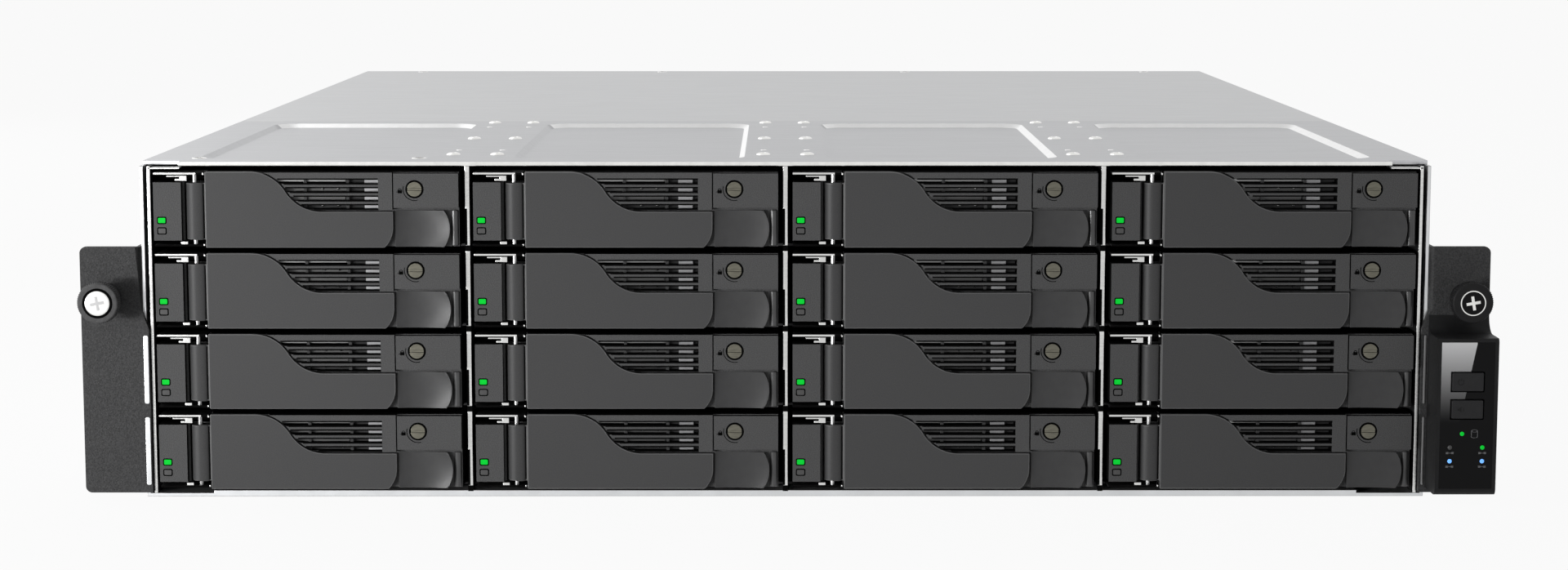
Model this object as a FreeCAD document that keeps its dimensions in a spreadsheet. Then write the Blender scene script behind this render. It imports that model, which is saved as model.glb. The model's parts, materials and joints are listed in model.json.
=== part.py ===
"""Rack storage server with sixteen hot-swap drive trays, in millimetres.

X runs to the right, Y from the front edge of the chassis to the rear, and Z up from the underside.
A tray is drawn once, about its own bay: X from the bay's middle, Z from the tray's underside.
"""
import FreeCAD, Part
import math
import os

import Sketcher

COLUMNS = 4
ROWS = 4
SLOT_ROWS = 4
FANS = 3
FAN_BLADES = 5
SINK_FINS = 8
MEMORY_MODULES = 4
POWER_SUPPLIES = 2
SUPPLY_VENTS = 5
NETWORK_SOCKETS = 4
REAR_VENTS = 16

# Small round things have few sides, because most of them come sixteen times
BARREL_SIDES = 12
PIN_SIDES = 8
RIB_SIDES = 12
LOCK_SIDES = 12
KNOB_SIDES = 24
NECK_SIDES = 12
LAMP_SIDES = 12
HUB_SIDES = 15
TUNNEL_SIDES = 24
MOTOR_SIDES = 12
STANDOFF_SIDES = 6

DIMENSIONS = (
    # Drives and the grid of trays
    ("drive_width", 101.6, "3.5-inch drive across its sides"),
    ("drive_height", 25.4, "3.5-inch drive, one-inch class"),
    ("drive_length", 147.0, "3.5-inch drive, front to rear"),
    ("drive_start", 14.0, "chassis front edge to the drive"),
    ("drive_lift", 0.3, "drive to the tray's lower and upper edges"),
    ("drive_lid_inset", 2.0, "drive lid inside the drive's outline"),
    ("drive_lid_height", 3.0, "drive lid above its casting"),
    ("rail_sheet", 1.1, "steel side rail of a tray"),
    ("rail_overrun", 4.0, "rail past the rear of the drive"),
    ("bay_gap", 4.95, "between the faces of two trays side by side"),
    ("row_gap", 1.83, "between two trays one above the other"),
    ("tray_floor", 3.5, "underside of the chassis to the lowest tray"),
    ("headroom", 1.51, "highest tray to the top plate"),
    ("tray_side_gap", 1.9, "outer tray to the cage wall"),
    # Tray front
    ("face_proud", 5.0, "tray faces in front of the chassis edge"),
    ("face_layer", 2.4, "raised layer of the bezel"),
    ("bezel_back", 6.0, "bezel behind the chassis edge"),
    ("bezel_margin", 0.3, "bezel inside the tray's height"),
    ("face_gap", 0.5, "gap round the lever"),
    ("led_plate_width", 9.5, "lamp plate at the left of a tray"),
    ("led_groove", 1.2, "groove between lamp plate and barrel"),
    ("hinge_low", 2.5, "tray underside to the lamp plate"),
    ("hinge_high", 3.6, "lamp plate to the tray's upper edge"),
    ("flange_sheet", 0.6, "hinge flange of the steel carrier"),
    ("flange_margin", 0.4, "tray edge to a hinge flange"),
    ("flange_setback", 1.0, "flange edge behind the tray face"),
    ("barrel_radius", 3.05, "lever barrel"),
    ("barrel_end_gap", 0.3, "barrel shorter than the lamp plate at each end"),
    ("barrel_room", 0.4, "pocket round the barrel"),
    ("pin_radius", 0.8, "hinge pin"),
    ("pin_clearance", 0.05, "hinge pin to the barrel bore"),
    ("lever_thick", 2.0, "lever plate"),
    ("lever_groove", 0.8, "groove between barrel and plate"),
    ("web_thick", 1.2, "web that joins barrel and plate"),
    ("catch_width", 22.3, "lever end to the tray's right edge"),
    ("arm_height", 12.4, "lower arm of the lever"),
    ("arm_length", 24.4, "straight upper edge of the arm"),
    ("wave_run", 24.2, "S-curve of the lever, along the tray"),
    ("corner_width", 3.0, "rounded lower end of the lever, across"),
    ("corner_height", 6.9, "rounded lower end of the lever, up"),
    ("slot_height", 1.45, "air slot"),
    ("slot_margin", 2.0, "grille height that the slot rows leave"),
    ("slot_first", 1.5, "lever arm to the lowest slot's middle"),
    ("slot_end", 27.3, "slot end to the tray's right edge"),
    ("lock_gap", 0.2, "lever end to the lock plate"),
    ("lock_plate_low", 1.3, "lever arm to the lock plate"),
    ("lock_plate_high", 0.6, "lock plate to the tray's upper edge"),
    ("lock_inset", 14.9, "lock axis to the tray's right edge"),
    ("lock_drop", 5.95, "lock axis below the tray's upper edge"),
    ("lock_radius", 2.4, "coin lock disc"),
    ("lock_ring", 0.65, "dark ring round the disc"),
    ("lock_depth", 1.2, "ring recess"),
    ("coin_slot_width", 0.8, "slot across the disc"),
    ("coin_slot_depth", 0.7, "slot into the disc"),
    ("latch_gap", 0.6, "lever end to the latch"),
    ("latch_length", 16.7, "straight part of the latch"),
    ("latch_bulge", 1.9, "rounded end of the latch"),
    ("latch_low", 0.3, "tray underside to the latch"),
    ("latch_rise", 0.2, "latch above the lever arm"),
    ("latch_thick", 2.1, "latch plate"),
    ("latch_travel", 2.5, "latch stroke to the right"),
    ("stem_width", 6.0, "latch stem across"),
    ("stem_height", 5.0, "latch stem up"),
    ("stem_length", 4.5, "latch stem into the bezel"),
    ("stem_room", 0.3, "stem to its slot"),
    ("rib_radius", 1.5, "rounded rib beside the latch"),
    # Chassis sheet metal
    ("wall_sheet", 1.2, "floor, sides and rear panel"),
    ("top_sheet", 1.5, "top plates"),
    ("cage_sheet", 1.1, "cage side wall"),
    ("cage_gap", 1.3, "cage wall to chassis wall"),
    ("divider_sheet", 1.6, "upright between two bays"),
    ("ledge_thick", 0.9, "guide ledge under a tray rail"),
    ("ledge_gap", 0.3, "guide ledge to the tray"),
    ("ledge_start", 8.0, "chassis front edge to the ledges"),
    ("body_depth", 580.0, "chassis front edge to the rear panel"),
    ("front_lip", 2.1, "hemmed front edge of the floor"),
    ("front_lip_depth", 9.0, "hem, front to rear"),
    ("front_lip_inset", 23.0, "hem end to the chassis side"),
    ("top_notch_width", 13.2, "notch in the top plate's front corner"),
    ("top_notch_depth", 6.0, "notch, front to rear"),
    ("recess_width", 80.4, "pressed panel in the top plate"),
    ("recess_margin", 13.0, "pressed panel to the plate's ends"),
    ("recess_depth", 1.5, "pressed panel below the plate"),
    ("recess_corner", 9.0, "pressed panel corner radius"),
    ("recess_sheet", 1.2, "floor of a pressed panel"),
    ("recess_slope", 2.0, "sloped edge of a pressed panel"),
    ("seam_gap", 22.5, "cage end to the seam of the top"),
    ("seam_width", 0.3, "seam between the top plates"),
    ("top_flange", 10.0, "inward flange under the rear cover"),
    ("rail_hole_radius", 2.1, "rack rail screw hole"),
    ("rail_hole_front", 150.0, "front edge to the first rail holes"),
    ("rail_hole_run", 300.0, "between front and rear rail holes"),
    ("rail_hole_height", 58.0, "underside to the rail holes"),
    # Rack ears, screws and control pod
    ("ear_width", 20.775, "ear beyond the chassis side"),
    ("ear_sheet", 2.0, "ear flange"),
    ("ear_side_sheet", 1.5, "ear side plate"),
    ("ear_side_length", 45.0, "ear side plate along the chassis"),
    ("ear_low", 1.7, "underside to the ear"),
    ("ear_height", 85.3, "ear"),
    ("ear_corner", 2.2, "rounded outer corners of the ear"),
    ("ear_lap", 2.2, "ear over the chassis edge, low down"),
    ("ear_lap_top", 58.5, "underside to the end of that lap"),
    ("ear_lap_slope", 6.5, "slope at the end of that lap"),
    ("screw_inset", 8.75, "ear edge to the rack screw"),
    ("screw_height", 69.3, "underside to the rack screw"),
    ("shank_radius", 2.5, "thread of the rack screw"),
    ("shank_length", 12.0, "rack screw behind the ear"),
    ("neck_radius", 2.2, "neck that keeps the rack screw in the ear"),
    ("neck_clearance", 0.08, "neck to the ear"),
    ("neck_past", 0.5, "neck behind the ear"),
    ("knob_radius", 7.2, "knob of the rack screw"),
    ("knob_length", 13.7, "knob, front to rear"),
    ("knob_head", 5.0, "wide front of the knob, front to rear"),
    ("knob_waist", 5.2, "narrow rear of the knob, radius"),
    ("knob_gap", 0.3, "knob to the ear"),
    ("pod_proud", 18.0, "control pod in front of the chassis edge"),
    ("pod_low", 3.6, "underside to the pod"),
    ("pod_top", 57.5, "underside to the pod's upper face"),
    ("pod_flare", 6.0, "hollow curve from the pod up to the ear"),
    ("pod_round_high", 1.3, "upper front edge of the pod"),
    ("pod_round_low", 2.4, "lower front edge of the pod"),
    ("pod_side_gap", 0.1, "pod to the chassis side"),
    ("fascia_frame", 1.3, "pod frame round the glossy fascia"),
    ("fascia_thick", 1.0, "glossy fascia"),
    ("button_width", 10.8, "push button across"),
    ("button_height", 6.4, "push button up"),
    ("button_proud", 0.5, "push button in front of the fascia"),
    ("button_length", 6.0, "push button, front to rear"),
    ("button_room", 0.3, "push button to its well"),
    ("button_travel", 1.0, "push button stroke"),
    ("button_top", 14.8, "pod's upper face to the first button's middle"),
    ("button_pitch", 9.4, "between the two buttons"),
    ("lamp_radius", 0.75, "status lamp lens"),
    ("lamp_proud", 0.25, "status lamp lens in front of the fascia"),
    ("lamp_drop", 32.6, "pod's upper face to the first lamp"),
    ("lamp_pitch", 4.7, "between rows of lamps"),
    ("lamp_spread", 5.5, "lamps beside the pod's middle"),
    ("first_lamp_shift", 1.5, "first lamp left of the pod's middle"),
    # Backplane, fans, board and power supplies
    ("connector_depth", 8.0, "rear of the drives to the backplane"),
    ("connector_gap", 1.0, "drive to its connector"),
    ("connector_width", 42.0, "drive connector across"),
    ("connector_height", 6.5, "drive connector up"),
    ("connector_low", 4.0, "tray underside to its connector"),
    ("backplane_thick", 2.0, "backplane board"),
    ("backplane_margin", 3.0, "backplane to the floor and the top plate"),
    ("cage_flange", 4.0, "cage behind the backplane"),
    ("fan_gap", 10.0, "cage to the fans"),
    ("fan_size", 80.0, "fan frame"),
    ("fan_depth", 38.0, "fan frame, front to rear"),
    ("fan_wall", 1.6, "fan frame at its thinnest"),
    ("fan_pitch", 122.0, "between fans"),
    ("fan_hub_radius", 16.0, "fan hub"),
    ("fan_hub_length", 22.0, "fan hub, front to rear"),
    ("fan_hub_start", 4.0, "fan face to the hub"),
    ("fan_mount_length", 7.0, "motor mount at the rear of a fan"),
    ("fan_strut", 5.0, "strut of the motor mount"),
    ("fan_tip_gap", 1.2, "blade tip to the frame"),
    ("fan_shaft_radius", 1.5, "fan shaft"),
    ("fan_shaft_clearance", 0.05, "fan shaft to the hub"),
    ("blade_chord", 19.0, "fan blade, across its section"),
    ("blade_thick", 1.6, "fan blade"),
    ("blade_angle", 35.0, "fan blade, degrees from the axis"),
    ("board_width", 244.0, "mainboard across"),
    ("board_depth", 244.0, "mainboard, front to rear"),
    ("board_thick", 1.6, "mainboard"),
    ("board_side_gap", 12.0, "mainboard to the chassis wall"),
    ("board_rear_gap", 3.0, "mainboard to the rear panel"),
    ("standoff_height", 6.0, "mainboard above the floor"),
    ("standoff_radius", 2.5, "mainboard standoff"),
    ("standoff_inset", 8.0, "standoff to the mainboard's edge"),
    ("sink_size", 78.0, "processor heat sink"),
    ("sink_base", 8.0, "processor and heat sink base"),
    ("sink_height", 40.0, "heat sink above the mainboard"),
    ("sink_fin", 2.0, "heat sink fin"),
    ("sink_left", 40.0, "mainboard edge to the heat sink"),
    ("sink_front", 60.0, "mainboard front edge to the heat sink"),
    ("module_length", 133.35, "memory module"),
    ("module_height", 31.25, "memory module"),
    ("module_thick", 3.8, "memory module with chips"),
    ("module_pitch", 10.0, "between memory modules"),
    ("module_left", 150.0, "mainboard edge to the memory modules"),
    ("module_front", 30.0, "mainboard front edge to the memory modules"),
    ("supply_width", 73.5, "power supply across"),
    ("supply_height", 40.0, "power supply up"),
    ("supply_length", 185.0, "power supply, front to rear"),
    ("supply_room", 0.4, "power supply to its bay"),
    ("supply_side_gap", 9.0, "supply bay to the chassis wall"),
    ("bay_sheet", 1.2, "power supply bay"),
    ("inlet_width", 27.4, "mains inlet across"),
    ("inlet_height", 20.0, "mains inlet up"),
    ("inlet_depth", 16.0, "mains inlet"),
    ("inlet_margin", 5.0, "supply edge to the inlet"),
    ("supply_vent_width", 32.0, "supply exhaust across"),
    ("supply_vent_slot", 3.0, "supply exhaust slot"),
    ("supply_vent_pitch", 6.0, "between supply exhaust slots"),
    ("supply_vent_depth", 4.0, "supply exhaust slot, depth"),
    ("grip_reach", 24.0, "supply grip behind the chassis"),
    ("grip_bar", 4.5, "bar of the supply grip"),
    ("grip_height", 30.0, "supply grip up"),
    # Rear panel
    ("socket_width", 16.0, "network socket across"),
    ("socket_height", 13.6, "network socket up"),
    ("socket_length", 21.0, "network socket, front to rear"),
    ("socket_wall", 1.6, "network socket wall"),
    ("socket_depth", 14.0, "network socket cavity"),
    ("socket_pitch", 24.0, "between network sockets"),
    ("socket_left", 60.0, "mainboard edge to the first socket"),
    ("socket_room", 0.3, "socket to the rear panel"),
    ("vent_slot", 5.0, "rear exhaust slot across"),
    ("vent_height", 34.0, "rear exhaust slot up"),
    ("vent_pitch", 20.0, "between rear exhaust slots"),
    ("vent_drop", 14.0, "top plate to the rear exhaust slots"),
    # Cutting
    ("overcut", 1.0, "a cut past the face that it opens"),
)

doc = FreeCAD.newDocument("storage_server")
nodes = []


def make_sheet():
    """Put every driving dimension in a spreadsheet cell with an alias."""
    sheet = doc.addObject("Spreadsheet::Sheet", "dims")
    for row, (alias, number, meaning) in enumerate(DIMENSIONS, start=1):
        sheet.set(f"A{row}", meaning)
        sheet.set(f"B{row}", str(number))
        sheet.setAlias(f"B{row}", alias)
    doc.recompute()


# Sizes that follow from the driving dimensions
TRAY_WIDTH = "(dims.drive_width + 2 * dims.rail_sheet)"
TRAY_HEIGHT = "(dims.drive_height + 2 * dims.drive_lift)"
BAY_PITCH = f"({TRAY_WIDTH} + dims.bay_gap)"
ROW_PITCH = f"({TRAY_HEIGHT} + dims.row_gap)"
CAGE_INNER = f"(1.5 * {BAY_PITCH} + {TRAY_WIDTH} / 2 + dims.tray_side_gap)"
CAGE_OUTER = f"({CAGE_INNER} + dims.cage_sheet)"
BODY_INNER = f"({CAGE_OUTER} + dims.cage_gap)"
BODY_HALF = f"({BODY_INNER} + dims.wall_sheet)"
TOP_UNDER = f"(dims.tray_floor + {ROWS} * {ROW_PITCH} - dims.row_gap + dims.headroom)"
BODY_HEIGHT = f"({TOP_UNDER} + dims.top_sheet)"
EAR_EDGE = f"({BODY_HALF} + dims.ear_width)"
SCREW_X = f"({EAR_EDGE} - dims.screw_inset)"

LEFT = f"(-{TRAY_WIDTH} / 2)"
RIGHT = f"({TRAY_WIDTH} / 2)"
FACE_Y = "(-dims.face_proud)"
STEP_Y = "(dims.face_layer - dims.face_proud)"
LED_RIGHT = f"({LEFT} + dims.led_plate_width)"
HINGE_X = f"({LED_RIGHT} + dims.led_groove + dims.barrel_radius)"
HINGE_Y = "(dims.barrel_radius - dims.face_proud)"
HINGE_HIGH = f"({TRAY_HEIGHT} - dims.hinge_high)"
BARREL_RIGHT = f"({HINGE_X} + dims.barrel_radius)"
LEVER_LEFT = f"({BARREL_RIGHT} + dims.lever_groove)"
LEVER_END = f"({RIGHT} - dims.catch_width)"
LEVER_BACK = "(dims.lever_thick - dims.face_proud)"
WAVE_END = f"({LEVER_END} - dims.arm_length)"
WAVE_START = f"({WAVE_END} - dims.wave_run)"
WAVE_RISE = f"({TRAY_HEIGHT} - dims.arm_height)"
WAVE_RADIUS = f"((dims.wave_run ^ 2 + {WAVE_RISE} ^ 2) / (4 * {WAVE_RISE}))"
CORNER_RADIUS = "((dims.corner_width ^ 2 + dims.corner_height ^ 2) / (2 * dims.corner_width))"
GRILLE_LOW = "(dims.arm_height + dims.face_gap)"
SLOT_PITCH = f"(({WAVE_RISE} - dims.slot_margin) / {SLOT_ROWS})"
LATCH_LEFT = f"({LEVER_END} + dims.latch_gap)"
LATCH_CHORD = f"({LATCH_LEFT} + dims.latch_length)"
LATCH_TOP = "(dims.arm_height + dims.latch_rise)"
LATCH_HALF = f"(({LATCH_TOP} - dims.latch_low) / 2)"
LATCH_RADIUS = f"((dims.latch_bulge ^ 2 + {LATCH_HALF} ^ 2) / (2 * dims.latch_bulge))"
LATCH_BACK = "(dims.latch_thick - dims.face_proud)"
LOCK_X = f"({RIGHT} - dims.lock_inset)"
LOCK_Z = f"({TRAY_HEIGHT} - dims.lock_drop)"
STEM_X = f"({LATCH_LEFT} + dims.latch_length / 2)"
STEM_Z = f"(({LATCH_TOP} + dims.latch_low) / 2)"
CARRIER_HIGH = f"({TRAY_HEIGHT} - dims.flange_margin)"
PIN_LOW = "(dims.flange_margin + dims.flange_sheet)"
PIN_HIGH = f"({CARRIER_HIGH} - dims.flange_sheet)"

DRIVE_REAR = "(dims.drive_start + dims.drive_length)"
BACKPLANE_Y = f"({DRIVE_REAR} + dims.connector_depth)"
CAGE_END = f"({BACKPLANE_Y} + dims.backplane_thick + dims.cage_flange)"
SEAM_Y = f"({CAGE_END} + dims.seam_gap)"
FAN_FRONT = f"({CAGE_END} + dims.fan_gap)"
FAN_REAR = f"({FAN_FRONT} + dims.fan_depth)"
FAN_TOP = "(dims.wall_sheet + dims.fan_size)"
FAN_AXIS_Z = "(dims.wall_sheet + dims.fan_size / 2)"
FAN_BORE = "(dims.fan_size / 2 - dims.fan_wall)"
PANEL_Y = "(dims.body_depth - dims.wall_sheet)"
BOARD_LEFT = f"(-{BODY_INNER} + dims.board_side_gap)"
BOARD_REAR = f"({PANEL_Y} - dims.board_rear_gap)"
BOARD_FRONT = f"({BOARD_REAR} - dims.board_depth)"
BOARD_UNDER = "(dims.wall_sheet + dims.standoff_height)"
BOARD_TOP = f"({BOARD_UNDER} + dims.board_thick)"
SUPPLY_PITCH = "(dims.supply_width + 2 * dims.supply_room + dims.bay_sheet)"
SUPPLY_BAY_RIGHT = f"({BODY_INNER} - dims.supply_side_gap)"
SUPPLY_BAY_LEFT = f"({SUPPLY_BAY_RIGHT} - {POWER_SUPPLIES} * {SUPPLY_PITCH} - dims.bay_sheet)"
SUPPLY_LOW = "(dims.wall_sheet + dims.supply_room)"
SUPPLY_BAY_TOP = f"({SUPPLY_LOW} + dims.supply_height + dims.supply_room)"
SUPPLY_FRONT = "(dims.body_depth - dims.supply_length)"
POD_LEFT = f"({BODY_HALF} + dims.pod_side_gap)"
POD_MIDDLE = f"(({POD_LEFT} + {EAR_EDGE}) / 2)"
POD_FACE = "(-dims.pod_proud)"
EAR_FACE = "(-dims.ear_sheet)"
FIRST_BUTTON_Z = "(dims.pod_top - dims.button_top)"


def box(name, x, y, z):
    """A block between the low and high ends given for each axis."""
    block = doc.addObject("Part::Box", name)
    for side, axis, (low, high) in (("Length", "x", x), ("Width", "y", y), ("Height", "z", z)):
        block.setExpression(side, f"({high}) - ({low})")
        block.setExpression(f"Placement.Base.{axis}", low)
    return block


ROD_TURNS = {
    "x": FreeCAD.Rotation(FreeCAD.Vector(0, 1, 0), 90),
    "y": FreeCAD.Rotation(FreeCAD.Vector(1, 0, 0), -90),
    "z": FreeCAD.Rotation(),
}


def place_along(solid, along, centre, low, high):
    """Stand a cylinder or prism along one axis, from low to high, with its axis through centre."""
    solid.Placement = FreeCAD.Placement(FreeCAD.Vector(), ROD_TURNS[along])
    solid.setExpression("Height", f"({high}) - ({low})")
    across = [axis for axis in "xyz" if axis != along]
    for axis, place in zip([along] + across, (low,) + centre):
        solid.setExpression(f"Placement.Base.{axis}", place)


def rod(name, along, radius, centre, low, high):
    """A cylinder along one axis; centre gives its other two coordinates."""
    cylinder = doc.addObject("Part::Cylinder", name)
    cylinder.setExpression("Radius", radius)
    place_along(cylinder, along, centre, low, high)
    return cylinder


def prism(name, along, sides, radius, centre, low, high):
    """A bar with that many sides along one axis, its edges at the radius."""
    bar = doc.addObject("Part::Prism", name)
    bar.Polygon = sides
    bar.setExpression("Circumradius", radius)
    place_along(bar, along, centre, low, high)
    return bar


def mirrored(sign, inner, outer):
    """The span from inner to outer on the right side (sign 1) or the left side (sign -1)."""
    ends = [f"{sign} * ({inner})", f"{sign} * ({outer})"]
    return ends[::sign]


def joined(name, pieces):
    """One solid from pieces that run into each other."""
    fusion = doc.addObject("Part::MultiFuse", name)
    fusion.Shapes = pieces
    fusion.Refine = True
    return fusion


def cut(name, base, tools):
    """The base with the tools taken away."""
    removal = doc.addObject("Part::Cut", name)
    removal.Base = base
    removal.Tool = tools[0] if len(tools) == 1 else joined(f"{name}_tools", tools)
    removal.Refine = True
    return removal


def group(name, pieces, place=None):
    """Separate solids kept together, moved by the expressions in place."""
    compound = doc.addObject("Part::Compound", name)
    compound.Links = pieces
    for axis, expression in (place or {}).items():
        compound.setExpression(f"Placement.Base.{axis}", expression)
    return compound


def node(thing, label):
    """Hand a finished sub-part in under its own name."""
    thing.Label = label
    nodes.append(thing)


def hold(sketch, kind, name, geometry, point, number, expression):
    """Tie one coordinate of a sketch point, or a radius, to an expression."""
    if kind == "Radius":
        constraint = Sketcher.Constraint(kind, geometry, number)
    else:
        constraint = Sketcher.Constraint(kind, -1, 1, geometry, point, number)
    index = sketch.addConstraint(constraint)
    sketch.renameConstraint(index, name)
    sketch.setExpression(f"Constraints.{name}", expression)


def arc_between(start, finish, radius, turn):
    """The short arc from start to finish that turns left or right."""
    chord = finish - start
    side = FreeCAD.Vector(-chord.y, chord.x, 0).normalize()
    reach = math.sqrt(max(radius ** 2 - (chord.Length / 2) ** 2, 0))
    middle = (start + finish) * 0.5
    centre = middle + side * (reach if turn == "left" else -reach)
    first, last = (start, finish) if turn == "left" else (finish, start)
    angles = [math.atan2(end.y - centre.y, end.x - centre.x) for end in (first, last)]
    if angles[1] < angles[0]:
        angles[1] += 2 * math.pi
    return Part.ArcOfCircle(Part.Circle(centre, FreeCAD.Vector(0, 0, 1), radius), *angles)


def add_outline(sketch, corners):
    """Draw a closed outline; a corner with a radius and a turn starts an arc to the next corner."""
    first = sketch.GeometryCount
    places = [FreeCAD.Vector(*(sketch.evalExpression(part) for part in corner[:2])) for corner in corners]
    ends = []
    for index, corner in enumerate(corners):
        start = places[index]
        finish = places[(index + 1) % len(corners)]
        if len(corner) == 2:
            sketch.addGeometry(Part.LineSegment(start, finish))
            ends.append((1, 2))
        else:
            radius = sketch.evalExpression(corner[2])
            sketch.addGeometry(arc_between(start, finish, radius, corner[3]))
            ends.append((1, 2) if corner[3] == "left" else (2, 1))
    for index, (start_end, finish_end) in enumerate(ends):
        following = (index + 1) % len(corners)
        joint = (first + index, finish_end, first + following, ends[following][0])
        sketch.addConstraint(Sketcher.Constraint("Coincident", *joint))
    for index, corner in enumerate(corners):
        geometry = first + index
        point = ends[index][0]
        hold(sketch, "DistanceX", f"x{geometry}", geometry, point, places[index].x, corner[0])
        hold(sketch, "DistanceY", f"y{geometry}", geometry, point, places[index].y, corner[1])
        if len(corner) > 2:
            hold(sketch, "Radius", f"r{geometry}", geometry, 0, sketch.evalExpression(corner[2]), corner[2])


def draw(body, name, plane, offset):
    """An empty sketch on one of the body's own planes, moved along the plane's normal."""
    sketch = body.newObject("Sketcher::SketchObject", name)
    support = [feature for feature in body.Origin.OriginFeatures if feature.Role == plane][0]
    sketch.AttachmentSupport = [(support, "")]
    sketch.MapMode = "FlatFace"
    sketch.setExpression("AttachmentOffset.Base.z", offset)
    return sketch


def feature_on(body, kind, name, sketch, **expressions):
    """A pad, pocket or other feature of a sketch, with its sizes bound."""
    feature = body.newObject(f"PartDesign::{kind}", name)
    feature.Profile = sketch
    for size, expression in expressions.items():
        feature.setExpression(size, expression)
    return feature


def plate(name, plane, offset, outlines, thickness):
    """A body padded from outlines drawn on one plane."""
    body = doc.addObject("PartDesign::Body", name)
    sketch = draw(body, f"{name}_outline", plane, offset)
    for outline in outlines:
        add_outline(sketch, outline)
    feature_on(body, "Pad", f"{name}_pad", sketch, Length=thickness)
    return body


def rectangle(x, y):
    """The corners of a rectangle between the ends given for each axis."""
    return [(x[0], y[0]), (x[1], y[0]), (x[1], y[1]), (x[0], y[1])]


def polygon(sides, radius):
    """The corners of a regular polygon about the origin."""
    turns = [f"{360 / sides * number} * 1deg" for number in range(sides)]
    return [(f"({radius}) * cos({turn})", f"({radius}) * sin({turn})") for turn in turns]


def rounded_rectangle(x, y, radius):
    """A rectangle with round corners, drawn anticlockwise."""
    low_x, high_x, low_y, high_y = x[0], x[1], y[0], y[1]
    return [
        (f"{low_x} + {radius}", low_y),
        (f"{high_x} - {radius}", low_y, radius, "left"),
        (high_x, f"{low_y} + {radius}"),
        (high_x, f"{high_y} - {radius}", radius, "left"),
        (f"{high_x} - {radius}", high_y),
        (f"{low_x} + {radius}", high_y, radius, "left"),
        (low_x, f"{high_y} - {radius}"),
        (low_x, f"{low_y} + {radius}", radius, "left"),
    ]


def lever_outline(gap):
    """Front outline of the wave lever, grown by a gap.

    A full-height plate at the left falls in an S-curve of two equal arcs to a low arm at the right.
    """
    part_way = f"(({WAVE_RADIUS} + {gap}) / (2 * {WAVE_RADIUS}))"
    middle_x = f"{WAVE_START} + dims.wave_run * {part_way}"
    middle_z = f"{TRAY_HEIGHT} - {WAVE_RADIUS} + (2 * {WAVE_RADIUS} - {WAVE_RISE}) * {part_way}"
    return [
        (f"{LEVER_LEFT} - {gap}", f"-{gap}"),
        (f"{LEVER_END} - dims.corner_width", f"-{gap}", f"{CORNER_RADIUS} + {gap}", "left"),
        (f"{LEVER_END} + {gap}", "dims.corner_height"),
        (f"{LEVER_END} + {gap}", f"dims.arm_height + {gap}"),
        (WAVE_END, f"dims.arm_height + {gap}", f"{WAVE_RADIUS} - {gap}", "right"),
        (middle_x, middle_z, f"{WAVE_RADIUS} + {gap}", "left"),
        (WAVE_START, f"{TRAY_HEIGHT} + {gap}"),
        (f"{LEVER_LEFT} - {gap}", f"{TRAY_HEIGHT} + {gap}"),
    ]


def make_lever():
    """Wave lever with the barrel that turns on the tray's hinge pin."""
    face = plate("lever_plate", "XZ_Plane", f"-{LEVER_BACK}", [lever_outline("0")], "dims.lever_thick")
    barrel_z = ("dims.hinge_low + dims.barrel_end_gap", f"{HINGE_HIGH} - dims.barrel_end_gap")
    hinge = (HINGE_X, HINGE_Y)
    barrel = prism("lever_barrel", "z", BARREL_SIDES, "dims.barrel_radius", hinge, *barrel_z)
    web = box(
        "lever_web",
        (HINGE_X, f"{LEVER_LEFT} + dims.lever_groove"),
        (f"{LEVER_BACK} - dims.web_thick", LEVER_BACK),
        barrel_z,
    )
    bore_radius = f"(dims.pin_radius + dims.pin_clearance) / cos(180deg / {PIN_SIDES})"
    bore = prism("lever_bore", "z", PIN_SIDES, bore_radius, hinge, *barrel_z)
    return cut("lever_master", joined("lever_solid", [face, barrel, web]), [bore])


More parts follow.
